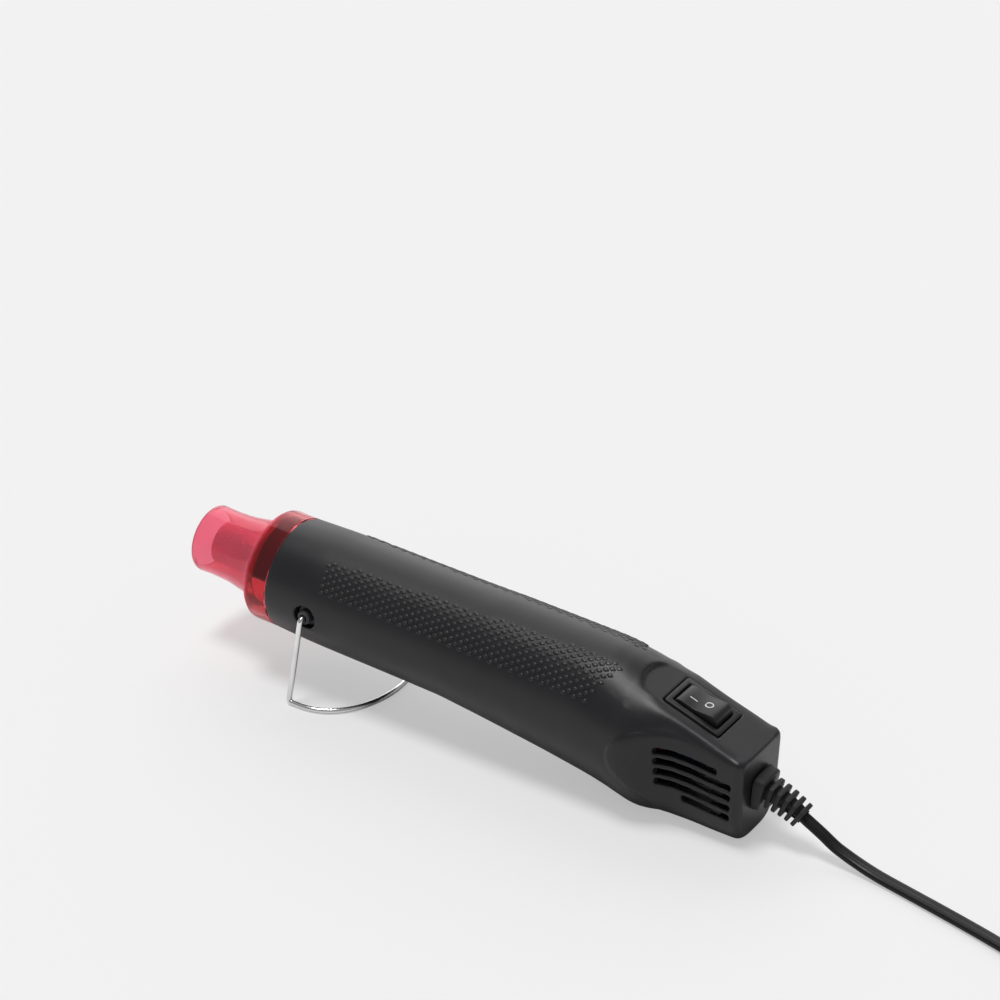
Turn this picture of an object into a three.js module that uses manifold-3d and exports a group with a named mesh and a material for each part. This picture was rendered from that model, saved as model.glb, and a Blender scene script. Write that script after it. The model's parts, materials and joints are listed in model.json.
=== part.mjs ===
import * as THREE from 'three';
import { mergeVertices } from 'three/addons/utils/BufferGeometryUtils.js';
import Module from 'manifold-3d';

const wasm = await Module();
wasm.setup();

// Hot air tool: a barrel with a flat switch face at the rear, a clear red guard round the outlet
// tube, and a folding wire stand. All sizes are in millimetres. The tool's own axis is x, from the
// outlet to the cord, and x = 0 is the front edge of the black housing.

// housing
const bodyLength = 186;
const barrelRadius = 20.7;
const wall = 2.1;
const seamGap = 0.3;
const fit = 0.3;
const touch = 0.1;

// red guard
const guardLength = 38.7;
const guardRimRadius = 12.1;
const guardThroatRadius = 14.4;
const guardCollarLength = 9.4;
const guardWall = 1.6;
const spigotWall = 2;

// outlet tube and heater
const tubeRadius = 7.5;
const tubeWall = 0.5;
const tubeSetback = 5.6;
const tubeRear = 46;
const tubeFlangeRadius = 12;
const micaThickness = 0.5;
const heaterTurns = 11;
const heaterRadius = 5.4;
const heaterWire = 0.7;
const heaterLeadRadius = 0.75;

// fan and motor
const fanX = 62;
const fanRadius = 14.2;
const fanBlades = 7;
const fanTipGap = 0.6;
const motorX = 76;
const motorRadius = 12;
const motorLength = 24;
const motorSheet = 1;
const shaftRadius = 1;
const bearingRadius = 2.8;
const armatureRadius = 7.6;
const magnetRadius = 8.4;
const boardRadius = 11;
const boardThickness = 1.6;
const boardSetback = 10;
const leadRadius = 0.8;

// switch and its sloping face
const faceTilt = 16.1 * Math.PI / 180;
const faceFromRear = 22.84;
const faceHeight = 11.14;
const faceHalfWidth = 12.6;
const faceArchFrom = 7.4;
const faceArchReach = 14.4;
const switchLength = 21.4;
const switchWidth = 15;
const switchPocket = 1.2;
const bezelHeight = 0.6;
const switchDepth = 13;
const rockerReach = 8.4;
const rockerThrow = 16.6 * Math.PI / 180;
const rockerPivotDepth = 1;
const tabOffset = 5;
const tabLength = 12.1;
const tabHalfWidth = 2.4;
const tabThickness = 0.8;

// vents and side panels
const panelRise = 0.8;
const ventCount = 5;
const ventPitch = 3.95;
const ventHeight = 2.1;
const ventSlope = 0.07;

// stand
const standWire = 2;
const standPivotX = 17.8;
const standPivotZ = -1;
const standHalfWidth = 27.2;
const standReach = 26.3;
const standRake = 2.7;
const standBend = 1.3;
const bushRadius = 4;
const bushNeck = 2.4;

// resting pose: the tool lies nose-up on its heel and the stand
const noseUp = 1.87 * Math.PI / 180;
const axisHeight = 34.15;
const floorGap = 0.02;

// screws
const screwRadius = 1.2;
const screwHead = 2.5;
const screwBoss = 3.1;

// strain relief and cord
const cordWidth = 4.8;
const cordThickness = 2.7;
const cordDrop = -10;
const ribCount = 5;
const ribPitch = 2.75;
const ribSize = 9;
const reliefRoot = 12.8;
const rootLength = 3.4;
const reliefFlange = 11;
const reliefNeck = 8.4;
const clampFromRear = 9;
const coilMiddleRadius = 28;
const coilTurns = 7;
const coilLayers = 4;
const coilGap = 0.6;
const coilFromExit = 114.6;
const coilSide = -16;
const tieThickness = 0.5;
const tieWidth = 6;
const plugHeight = 5;
const bladeSpacing = 12.7;
const bladeThickness = 1.5;
const bladeWidth = 6.35;

const rear = bodyLength;
const faceX = rear - faceFromRear;
// how far the barrel's other radii follow a change of its own
const girth = barrelRadius / 20.7;

const colours = {
  shell: 0x1b1b1d, red: 0xc4142a, steel: 0xb8bcc0, mica: 0xb9a679, wire: 0x8d8a86, fan: 0x2b2d31,
  brass: 0xb5934c, copper: 0xa8623a, rubber: 0x141415, board: 0x2f5a3a, magnet: 0x35353a,
  rocker: 0x202022, ceramic: 0xd9d4c8, lead: 0x7b2b24, blue: 0x2a4e8c, white: 0xd8d8d6,
};

// Solids: each is made from a three.js geometry, then cut or joined as a closed solid.

function solidOf(geometry) {
  const bare = new THREE.BufferGeometry();
  bare.setAttribute('position', geometry.attributes.position.clone());
  if (geometry.index) {
    bare.setIndex(geometry.index.clone());
  }
  const welded = mergeVertices(bare, 1e-4);
  const p = welded.attributes.position;
  const [a, b, c] = [new THREE.Vector3(), new THREE.Vector3(), new THREE.Vector3()];
  let corners = [];
  let volume = 0;
  for (let i = 0; i < welded.index.count; i += 3) {
    const [ia, ib, ic] = [welded.index.getX(i), welded.index.getX(i + 1), welded.index.getX(i + 2)];
    if (ia !== ib && ib !== ic && ia !== ic) {
      corners.push(ia, ib, ic);
      a.fromBufferAttribute(p, ia);
      b.fromBufferAttribute(p, ib);
      c.fromBufferAttribute(p, ic);
      volume += a.dot(b.cross(c));
    }
  }
  if (volume < 0) {
    corners = corners.reverse();
  }
  return new wasm.Manifold(new wasm.Mesh({
    numProp: 3, vertProperties: new Float32Array(p.array), triVerts: new Uint32Array(corners),
  }));
}

function geometryOf(solid) {
  const mesh = solid.getMesh();
  const geometry = new THREE.BufferGeometry();
  geometry.setAttribute('position', new THREE.BufferAttribute(new Float32Array(mesh.vertProperties), 3));
  geometry.setIndex(new THREE.BufferAttribute(new Uint32Array(mesh.triVerts), 1));
  geometry.computeVertexNormals();
  return geometry;
}

function join(...solids) {
  return solids.reduce((a, b) => a.add(b));
}

function cut(solid, ...tools) {
  return tools.reduce((a, b) => a.subtract(b), solid);
}

function box(x0, x1, y0, y1, z0, z1, matrix = new THREE.Matrix4()) {
  const g = new THREE.BoxGeometry(x1 - x0, y1 - y0, z1 - z0);
  g.translate((x0 + x1) / 2, (y0 + y1) / 2, (z0 + z1) / 2);
  return solidOf(g.applyMatrix4(matrix));
}

// a round bar from one point to another
function bar(from, to, radius, sides = 16, endRadius = radius) {
  const a = new THREE.Vector3(...from);
  const b = new THREE.Vector3(...to);
  const way = b.clone().sub(a);
  const g = new THREE.CylinderGeometry(endRadius, radius, way.length(), sides);
  g.applyQuaternion(new THREE.Quaternion().setFromUnitVectors(new THREE.Vector3(0, 1, 0), way.normalize()));
  g.translate((a.x + b.x) / 2, (a.y + b.y) / 2, (a.z + b.z) / 2);
  return solidOf(g);
}

// a turned solid about the tool axis; the profile is [x, radius] pairs and closes on itself
function turned(profile, sides = 24) {
  const points = profile.map(([x, r]) => new THREE.Vector2(r, x));
  points.push(points[0].clone());
  const g = new THREE.LatheGeometry(points, sides);
  g.rotateZ(-Math.PI / 2);
  return solidOf(g);
}

function ring(x0, x1, inner, outer, sides = 24) {
  return turned([[x0, inner], [x1, inner], [x1, outer], [x0, outer]], sides);
}

// part of a ring about the tool axis, between two radii, spread either side of one direction
function arcSolid(x0, x1, inner, outer, middle, spread, steps) {
  const points = [];
  for (const [r, sign] of [[outer, 1], [inner, -1]]) {
    for (let j = 0; j <= steps; j += 1) {
      const a = middle + sign * spread * (2 * j / steps - 1);
      points.push(new THREE.Vector2(r * Math.cos(a), r * Math.sin(a)));
    }
  }
  const g = new THREE.ExtrudeGeometry(new THREE.Shape(points), { depth: x1 - x0, bevelEnabled: false });
  g.applyMatrix4(new THREE.Matrix4().set(0, 0, 1, x0, 1, 0, 0, 0, 0, 1, 0, 0, 0, 0, 0, 1));
  return solidOf(g);
}

// a closed skin over rings that all have the same number of points, capped at both ends
function loft(rings) {
  const n = rings[0].length;
  const positions = rings.flatMap((points) => points.flatMap((p) => [p.x, p.y, p.z]));
  const index = [];
  for (let i = 0; i + 1 < rings.length; i += 1) {
    for (let j = 0; j < n; j += 1) {
      const next = (j + 1) % n;
      const [a, b, c, d] = [i * n + j, i * n + next, (i + 1) * n + j, (i + 1) * n + next];
      index.push(a, b, c, b, d, c);
    }
  }
  for (const [row, flip] of [[0, false], [rings.length - 1, true]]) {
    const centre = new THREE.Vector3();
    rings[row].forEach((p) => centre.addScaledVector(p, 1 / n));
    const middle = positions.length / 3;
    positions.push(centre.x, centre.y, centre.z);
    for (let j = 0; j < n; j += 1) {
      const [a, b] = [row * n + j, row * n + (j + 1) % n];
      index.push(...(flip ? [middle, a, b] : [middle, b, a]));
    }
  }
  const g = new THREE.BufferGeometry();
  g.setAttribute('position', new THREE.Float32BufferAttribute(positions, 3));
  g.setIndex(index);
  return solidOf(g);
}

// points on a rounded oblong: power 2 is an ellipse, and higher powers are squarer
function oblong(count, wide, high, power, lowPower = power, lowHigh = high) {
  return Array.from({ length: count }, (_, i) => {
    const a = 2 * Math.PI * i / count;
    const [c, s] = [Math.cos(a), Math.sin(a)];
    const e = 2 / (s >= 0 ? power : lowPower);
    const y = Math.abs(c) < 1e-9 ? 0 : Math.sign(c) * wide * Math.abs(c) ** e;
    const z = Math.abs(s) < 1e-9 ? 0 : Math.sign(s) * (s >= 0 ? high : lowHigh) * Math.abs(s) ** e;
    return [y, z];
  });
}

// a path that passes exactly through its points, one step of the sweep for each
class PointPath extends THREE.Curve {
  constructor(points, level) {
    super();
    this.points = points;
    this.level = level;
  }

  getPoint(t, target = new THREE.Vector3()) {
    const last = this.points.length - 1;
    const at = Math.min(Math.max(t, 0), 1) * last;
    const i = Math.min(Math.floor(at + 1e-9), last - 1);
    return target.lerpVectors(this.points[i], this.points[i + 1], at - i);
  }

  getPointAt(u, target) {
    return this.getPoint(u, target);
  }

  getTangentAt(u, target = new THREE.Vector3()) {
    const last = this.points.length - 1;
    const i = Math.round(u * last);
    const a = this.points[Math.max(i - 1, 0)];
    const b = this.points[Math.min(i + 1, last)];
    return target.copy(b).sub(a).normalize();
  }

  // a flat cord keeps its width level; a round wire keeps its side as straight as it can
  computeFrenetFrames(segments) {
    const [tangents, normals, binormals] = [[], [], []];
    const up = new THREE.Vector3(0, 0, 1);
    for (let i = 0; i <= segments; i += 1) {
      const t = this.getTangentAt(i / segments, new THREE.Vector3());
      const side = new THREE.Vector3();
      if (this.level || i === 0) {
        side.crossVectors(Math.abs(t.z) > 0.9 ? new THREE.Vector3(1, 0, 0) : up, t).normalize();
      } else {
        side.copy(normals[i - 1]).addScaledVector(t, -normals[i - 1].dot(t)).normalize();
      }
      tangents.push(t);
      normals.push(side);
      binormals.push(new THREE.Vector3().crossVectors(t, side));
    }
    return { tangents, normals, binormals };
  }
}

function swept(points, halfWide, sides = 8, halfThick = halfWide) {
  const outline = [];
  for (let i = 0; i < sides; i += 1) {
    const a = 2 * Math.PI * (i + 0.5) / sides;
    outline.push(new THREE.Vector2(halfWide * Math.cos(a), halfThick * Math.sin(a)));
  }
  const path = new PointPath(points, halfThick < halfWide);
  return new THREE.ExtrudeGeometry(new THREE.Shape(outline), {
    steps: points.length - 1, extrudePath: path, bevelEnabled: false,
  });
}

// a smooth run through a few points, in even steps
function run(points, steps) {
  const curve = new THREE.CatmullRomCurve3(points.map((p) => new THREE.Vector3(...p)), false, 'centripetal');
  return curve.getSpacedPoints(steps);
}

// straight legs with rounded corners
function bent(points, radius, cornerSteps) {
  const out = [points[0].clone()];
  for (let i = 1; i + 1 < points.length; i += 1) {
    const before = points[i - 1].clone().sub(points[i]).normalize();
    const after = points[i + 1].clone().sub(points[i]).normalize();
    const half = before.angleTo(after) / 2;
    const inward = before.clone().add(after).normalize();
    const centre = points[i].clone().addScaledVector(inward, radius / Math.sin(half));
    const a = points[i].clone().addScaledVector(before, radius / Math.tan(half)).sub(centre);
    const b = points[i].clone().addScaledVector(after, radius / Math.tan(half)).sub(centre);
    const turn = a.angleTo(b);
    for (let j = 0; j <= cornerSteps; j += 1) {
      const t = j / cornerSteps;
      const p = a.clone().multiplyScalar(Math.sin((1 - t) * turn) / Math.sin(turn));
      out.push(p.addScaledVector(b, Math.sin(t * turn) / Math.sin(turn)).add(centre));
    }
  }
  out.push(points[points.length - 1].clone());
  return out;
}

// a smooth value between stations, with no overshoot
function along(xs, ys) {
  const slopes = xs.slice(1).map((x, i) => (ys[i + 1] - ys[i]) / (x - xs[i]));
  const m = xs.map((_, i) => {
    const [a, b] = [slopes[Math.max(i - 1, 0)], slopes[Math.min(i, slopes.length - 1)]];
    return a * b <= 0 ? 0 : 2 * a * b / (a + b);
  });
  return (x) => {
    const i = Math.min(Math.max(xs.findIndex((at) => at >= x) - 1, 0), xs.length - 2);
    const h = xs[i + 1] - xs[i];
    const t = THREE.MathUtils.clamp((x - xs[i]) / h, 0, 1);
    const [t2, t3] = [t * t, t * t * t];
    return (2 * t3 - 3 * t2 + 1) * ys[i] + (t3 - 2 * t2 + t) * h * m[i]
      + (3 * t2 - 2 * t3) * ys[i + 1] + (t3 - t2) * h * m[i + 1];
  };
}

const root = new THREE.Group();
root.name = 'hot_air_tool';
const tool = new THREE.Group();
tool.name = 'tool_at_rest';
tool.rotation.y = noseUp;
tool.position.z = axisHeight;
const onFloor = new THREE.Group();
onFloor.name = 'cord_on_floor';
root.add(tool, onFloor);

function place(group, name, shape, colour, roughness = 0.5, metalness = 0, extra = {}) {
  const material = new THREE.MeshStandardMaterial({ color: colour, roughness, metalness, ...extra });
  material.name = name + '_material';
  const mesh = new THREE.Mesh(shape.isBufferGeometry ? shape : geometryOf(shape), material);
  mesh.name = name;
  group.add(mesh);
}

// from the tool's own frame to the floor's
const restMatrix = new THREE.Matrix4().makeRotationY(noseUp).setPosition(0, 0, axisHeight);
const toFloor = (x, y, z) => new THREE.Vector3(x, y, z).applyMatrix4(restMatrix);

// Housing: distance along the axis, half width, height above the axis, depth below it, and how
// square the upper and lower halves are. Each section is a rounded oblong.
const stations = [
  [0, 20.0, 20.0, 20.0, 2, 2],
  [8, 20.3, 20.3, 20.3, 2, 2],
  [20, 20.6, 20.7, 20.5, 2, 2],
  [45, 20.7, 20.8, 20.4, 2, 2],
  [68, 20.7, 21.0, 20.5, 2, 2],
  [rear - 108, 20.9, 21.1, 21.3, 2, 2],
  [rear - 98, 21.0, 21.4, 22.4, 2, 2],
  [rear - 79, 21.2, 21.4, 24.8, 2, 2],
  [rear - 62, 21.4, 21.3, 26.8, 2, 2.08],
  [rear - 56, 21.5, 21.2, 27.4, 1.95, 2.15],
  [rear - 50, 21.6, 20.3, 27.9, 1.9, 2.3],
  [rear - 45, 21.7, 19.0, 28.1, 1.9, 2.55],
  [rear - 42, 21.6, 18.0, 28.2, 2, 2.75],
  [rear - 39, 21.0, 17.3, 28.2, 2, 3.1],
  [rear - 36, 19.9, 16.9, 28.3, 2.1, 3.4],
  [rear - 32, 17.6, 16.1, 28.4, 2.6, 3.6],
  [rear - 28, 15.2, 14.9, 28.4, 3.4, 3.6],
  [rear - 24, 13.9, 13.9, 28.5, 4.5, 3.8],
  [rear - 18, 13.2, 12.6, 28.6, 5.5, 3.8],
  [rear - 10, 12.9, 10.2, 28.7, 6, 3.8],
  [rear - 4, 12.7, 8.2, 28.6, 6, 3.8],
  [rear, 12.5, 7.0, 28.4, 6, 3.8],
];
const column = (i) => along(stations.map((s) => s[0]), stations.map((s) => (i < 4 ? s[i] * girth : s[i])));
const [widthAt, topAt, depthAt, topPowerAt, lowPowerAt] = [1, 2, 3, 4, 5].map(column);
const around = 28;

function section(x, inset, count, extraWidth = 0) {
  const wide = widthAt(x) - inset + extraWidth;
  const outline = oblong(count, wide, topAt(x) - inset, topPowerAt(x), lowPowerAt(x), depthAt(x) - inset);
  return outline.map(([y, z]) => new THREE.Vector3(x, y, z));
}

// the skin of the body; its rear end is rounded, a little at the sides and more underneath
function bodySkin(distances, extraWidth = 0) {
  const rings = distances.map((x) => section(x, x === 0 ? 0.5 : 0, around, extraWidth));
  for (const [fromEnd, side, under] of [[2.2, 0.25, 0.4], [0.8, 0.9, 1.4], [0, 2.1, 3.2]]) {
    const x = rear - fromEnd;
    const end = section(x, 0, around, extraWidth);
    for (const p of end) {
      p.y *= 1 - side / widthAt(x);
      p.z *= p.z < 0 ? 1 - under / depthAt(x) : 1 - side / topAt(x);
    }
    rings.push(end);
  }
  return loft(rings);
}

const rearRings = [49, 44, 40, 36, 32, 28, 24, 18, 8].map((x) => rear - x);
const barrelRings = [0, 0.8, 14, 62, rear - 106, rear - 84, rear - 66, rear - 56];

// the sloping face frame: along the slope, across, and out of the face
const faceFrame = new THREE.Matrix4().makeRotationY(faceTilt).setPosition(faceX, 0, faceHeight);
const onFace = (s, y, n) => new THREE.Vector3(s, y, n).applyMatrix4(faceFrame);

// what is cut away above the face, with an arched front
function faceCut() {
  const side = faceHalfWidth + 6;
  const outline = [new THREE.Vector2(40, side), new THREE.Vector2(0.5 - faceArchFrom, side)];
  for (let i = 0; i <= 20; i += 1) {
    const a = Math.PI * i / 20;
    const s = -faceArchFrom - faceArchReach * Math.sin(a);
    outline.push(new THREE.Vector2(s, faceHalfWidth * Math.cos(a)));
  }
  outline.push(new THREE.Vector2(0.5 - faceArchFrom, -side), new THREE.Vector2(40, -side));
  const g = new THREE.ExtrudeGeometry(new THREE.Shape(outline), { depth: 30, bevelEnabled: false });
  return solidOf(g.applyMatrix4(faceFrame));
}

// what lies under the floor, so that the heel is flat
const floorFrame = new THREE.Matrix4().copy(restMatrix).invert();
const underFloor = (lift) => box(-100, rear + 100, -60, 60, -40, lift, floorFrame);

// the raised side panels that carry the vents, as an outline in [x from the rear, z]
function sidePanels() {
  const outline = [
    [-45, -3.5], [-44.3, -0.5], [-43, 1.4], [-41, 3.4], [-38, 5.6], [-35.5, 6.5], [-32, 6.8], [-12, 6.7],
    [-5, 5.2], [6, 2], [6, -40], [-27, -40], [-28.4, -28], [-30.4, -22.5], [-33.7, -17.8], [-37.4, -15.5],
    [-40, -12.9], [-43.8, -9.2], [-44.8, -6.5],
  ];
  const shape = new THREE.Shape(outline.map(([x, z]) => new THREE.Vector2(rear + x, z)));
  const slab = new THREE.ExtrudeGeometry(shape, { depth: 60, bevelEnabled: false });
  slab.rotateX(Math.PI / 2);
  slab.translate(0, 30, 0);
  return bodySkin(rearRings, panelRise).intersect(solidOf(slab));
}

// the body's shape taken in by some depth from every side
function insideBy(depth, count) {
  const distances = [3, 66, ...[98, 62, 50, 42, 36, 31, 27, 22].map((x) => rear - x), rear - depth];
  const skin = loft(distances.map((x) => section(x, depth, count)));
  return cut(skin, box(-60, 60, -30, 30, -depth, 40, faceFrame), underFloor(depth));
}

// red guard, collar and spigot radii
const collarOuter = 20 * girth;
const spigotOuter = collarOuter - guardWall - fit;
const spigotInner = spigotOuter - spigotWall;
const spigotLength = guardCollarLength - guardWall - 0.9;
const shieldX = 3 + fit;

// places along the axis, from the front to the board
const tubeFront = tubeSetback - guardLength;
const ductX = tubeRear + 0.6;
const shroudRadius = fanRadius + 2;
const cradleX = motorX + 8;
const cradleLength = 8;
const motorEnd = motorX + motorLength;
const boardX = motorEnd + boardSetback;

// body screws, as [distance along, height]; their heads are in the right half
const screwSpots = [
  [30, 13.1 * girth], [30, -13.1 * girth], [rear - 60, -19.5 * girth], [rear - 10, -22.3 * girth],
];

function screwSeat(x, z) {
  const share = Math.abs(z) / (z > 0 ? topAt(x) : depthAt(x));
  return Math.max(widthAt(x) * Math.sqrt(Math.max(1 - share ** 2.2, 0.05)) - 4.5, 4);
}

// stand sockets, and the places of the bush and wire along their pivot line
const socketFloor = 16.9 * girth;
const bossReach = socketFloor - 2.7;
const neckEnd = 21 * girth;
const onPivot = (y) => [standPivotX, y, standPivotZ];

// runs of wire inside the tool: each ends against the tab or board that it is soldered to
const besideTab = tabThickness / 2 + fit + leadRadius;
const tabEnd = (s) => [-tabLength - 8.7, -tabLength - 5.1].map((n) => onFace(s, -besideTab, n).toArray());
const boardBack = boardX + boardThickness;
const boardEnd = (y) => [[boardBack + 6.4, y, 6], [boardBack + fit, y, 6]];
const toBoard = (share) => THREE.MathUtils.lerp(boardBack + 6.4, tabEnd(-tabOffset)[0][0], share);
const leadRuns = {
  lead_live: [[rear - 14.4, -1.2, cordDrop], [rear - 18, -besideTab, cordDrop - 1.3],
    [rear - 21.5, -besideTab, cordDrop - 1.6], ...tabEnd(tabOffset)],
  lead_neutral: [[rear - 14.4, 1.2, cordDrop], [rear - 20, 4, cordDrop - 3], [toBoard(0.75), 6, -14],
    [toBoard(0.35), 5, -6], ...boardEnd(4)],
  lead_switched: [...tabEnd(-tabOffset).reverse(), [toBoard(0.92), -2.5, -9.4], [toBoard(0.7), -5, -7],
    [toBoard(0.35), -5, 0], ...boardEnd(-4)],
};
const heaterPaths = [-3, 3].map((y) => run([
  [boardX - fit, y, 9.5], [boardX - 3, y, 10.3], [boardX - 5.5, y, motorRadius + 1.6],
  [boardX - 10, y, motorRadius + 3], [motorX + 4, y, motorRadius + 3.2], [fanX + 12, y, fanRadius + 2.8],
  [fanX - 2, y, fanRadius + 2.9], [ductX + 9, y, 15], [ductX + 5, y, 10], [ductX + 2.8, 0.87 * y, 4.4],
], 18));
const heaterRoom = heaterPaths.map((points) => solidOf(swept(points, heaterLeadRadius + 0.4, 6)));

// ribs, bosses and pivot bosses inside the housing, each ending inside the wall
function housingInside() {
  const inWall = insideBy(wall / 2, 12);
  const rib = (x0, x1, inner) => cut(
    inWall.intersect(box(x0, x1, -40, 40, -40, 40)),
    bar([x0 - 1, 0, 0], [x1 + 1, 0, 0], inner, 20),
  );
  const pieces = [
    rib(shieldX + 1 + fit, shieldX + 2.5, 15.2 * girth),
    rib(ductX + 13.5, ductX + 15, shroudRadius + 0.4),
    rib(cradleX - 1.7, cradleX - fit, motorRadius + 3),
    rib(cradleX + cradleLength + fit, cradleX + cradleLength + 1.7, motorRadius + 3),
  ];
  for (const [x, z] of screwSpots) {
    pieces.push(bar([x, -25, z], [x, 25, z], screwBoss, 10).intersect(inWall));
  }
  for (const side of [-1, 1]) {
    const boss = bar(onPivot(side * 25), onPivot(side * bossReach), bushRadius + 1.6, 14);
    pieces.push(boss.intersect(inWall));
  }
  return pieces;
}

// straight slots that run along each side panel
function vents() {
  const slots = [];
  for (let i = 0; i < ventCount; i += 1) {
    const from = i === ventCount - 1 ? -3.5 : -13.7;
    const to = i === 0 ? 8 : 13.4;
    const slope = new THREE.Matrix4().makeRotationY(ventSlope);
    slope.setPosition(rear - 17, 0, -0.2 - ventPitch * i);
    for (const side of [-1, 1]) {
      const [y0, y1] = side < 0 ? [-40, -6] : [6, 40];
      slots.push(box(from, to, y0, y1, -ventHeight / 2, ventHeight / 2, slope));
    }
  }
  return slots;
}

const switchHalf = [switchLength / 2 - 1.2, switchWidth / 2 - 1.4];

function housingHoles() {
  const [halfLong, halfWide] = switchHalf.map((v) => v + fit);
  const [pocketLong, pocketWide] = [switchLength / 2 + fit, switchWidth / 2 + fit];
  const holes = [
    box(-halfLong, halfLong, -halfWide, halfWide, -9, 5, faceFrame),
    box(-pocketLong, pocketLong, -pocketWide, pocketWide, -switchPocket, 5, faceFrame),
  ];
  for (const side of [-1, 1]) {
    holes.push(bar(onPivot(side * socketFloor), onPivot(side * 30), bushRadius + 0.4, 18));
    holes.push(bar(onPivot(side * (bossReach - 3)), onPivot(side * 30), 2.6 + fit, 12));
  }
  for (const [x, z] of screwSpots) {
    const seat = screwSeat(x, z);
    holes.push(bar([x, seat, z], [x, 30, z], screwHead + 0.4, 12));
    holes.push(bar([x, 1 - seat, z], [x, seat + 1, z], screwRadius + fit, 8));
  }
  holes.push(bar([rear - 6, 0, cordDrop], [rear + 3, 0, cordDrop], reliefNeck / 2 + 0.4, 14));
  return holes;
}

// the spigot holds the guard's collar; below, it is open at both sides and lets light through
function spigot() {
  const sleeve = ring(-spigotLength, 1.5, spigotInner, spigotOuter, 24);
  return cut(sleeve, box(-30, 0, -40, 40, -40, 4.6));
}

// the clamp's posts and cord rest stand on the left half
const clampX = rear - clampFromRear;
const clampPosts = [cordDrop + 6.2, cordDrop - 6.2];

function makeHousing() {
  const body = join(bodySkin([...barrelRings, ...rearRings]), sidePanels());
  const outside = cut(body, faceCut(), underFloor(0));
  let shell = join(cut(outside, insideBy(wall, 20)), ...housingInside());
  shell = join(cut(shell, bar([-20, 0, 0], [4, 0, 0], spigotInner, around)), spigot());
  shell = cut(shell, ...vents(), ...housingHoles(), ...heaterRoom);
  let left = shell.intersect(box(-100, rear + 100, -100, -seamGap / 2, -100, 100));
  for (const z of clampPosts) {
    left = join(left, bar([clampX, 1 - widthAt(clampX), z], [clampX, 2.4, z], 2.1, 12));
    left = cut(left, bar([clampX, -6, z], [clampX, 4, z], 1.3, 10));
  }
  const cordSide = -cordWidth / 2 - fit;
  const rest = box(clampX - 2, clampX + 2, 1 - widthAt(clampX), cordSide, cordDrop - 3, cordDrop + 3);
  place(tool, 'housing_left', join(left, rest), colours.shell, 0.42);
  const right = shell.intersect(box(-100, rear + 100, seamGap / 2, 100, -100, 100));
  place(tool, 'housing_right', right, colours.shell, 0.42);
}

// a collar the size of the barrel, a shoulder, and a bell that narrows to the rim
function makeGuard() {
  const collar = -guardCollarLength;
  const shoulder = collar - 1.2;
  const rim = -guardLength;
  const [throat, mouth] = [guardThroatRadius, guardRimRadius];
  const bell = [[shoulder - 4, throat], [shoulder - 9, throat - 1.1], [shoulder - 15, throat - 2],
    [shoulder - 22, mouth]];
  const inside = [...bell].reverse().map(([x, r]) => [x, r - guardWall]);
  const profile = [
    [0, collarOuter], [collar + 1.2, collarOuter + 0.1], [collar, collarOuter - 0.8],
    [shoulder, throat + 1.8], [shoulder - 1.2, throat + 1], ...bell, [rim + 0.5, mouth + 0.15],
    [rim, mouth - 0.35], [rim, mouth - guardWall], ...inside, [shoulder + guardWall, throat],
    [shoulder + guardWall, spigotOuter + fit], [0, spigotOuter + fit],
  ];
  const clear = { transparent: true, opacity: 0.6 };
  place(tool, 'nozzle_guard', turned(profile, 24), colours.red, 0.25, 0, clear);
}

// the steel outlet tube, its heat shield and its mica lining
function makeOutlet() {
  const bore = tubeRadius - tubeWall;
  const profile = [
    [tubeFront, bore], [tubeFront, tubeRadius], [tubeRear - 0.8, tubeRadius],
    [tubeRear - 0.8, tubeFlangeRadius], [tubeRear, tubeFlangeRadius], [tubeRear, bore],
  ];
  place(tool, 'outlet_tube', turned(profile), colours.steel, 0.3, 1);
  const shield = ring(shieldX, shieldX + 1, tubeRadius + 0.4, 17.6 * girth);
  place(tool, 'heat_shield', shield, colours.steel, 0.35, 1);
  const sleeve = ring(tubeFront + 8, tubeRear - 1, bore - fit - 0.5, bore - fit);
  place(tool, 'mica_sleeve', sleeve, colours.mica, 0.7);
}

// two mica boards slotted into each other, with the heating wire wound round them
function makeHeater() {
  const front = tubeFront + 12;
  const back = tubeRear - 5;
  const middle = (front + back) / 2;
  const half = heaterRadius - heaterWire / 2 - 0.45;
  const thin = micaThickness / 2;
  const slot = thin + fit;
  const flat = cut(
    box(front, back, -half, half, -thin, thin),
    box(middle - 0.15, back + 1, -slot, slot, -2, 2),
  );
  const upright = cut(
    box(front, back, -thin, thin, -half, half),
    box(front - 1, middle + 0.15, -2, 2, -slot, slot),
  );
  place(tool, 'mica_board_flat', flat, colours.mica, 0.75);
  place(tool, 'mica_board_upright', upright, colours.mica, 0.75);
  const [from, to] = [front + 2.5, back - 1.5];
  const points = [];
  for (let i = 0; i <= heaterTurns * 8; i += 1) {
    const a = 2 * Math.PI * i / 8;
    const x = from + (to - from) * i / (heaterTurns * 8);
    points.push(new THREE.Vector3(x, heaterRadius * Math.cos(a), heaterRadius * Math.sin(a)));
  }
  place(tool, 'heater_coil', swept(points, heaterWire / 2, 4), colours.wire, 0.45, 0.9);
}

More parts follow.
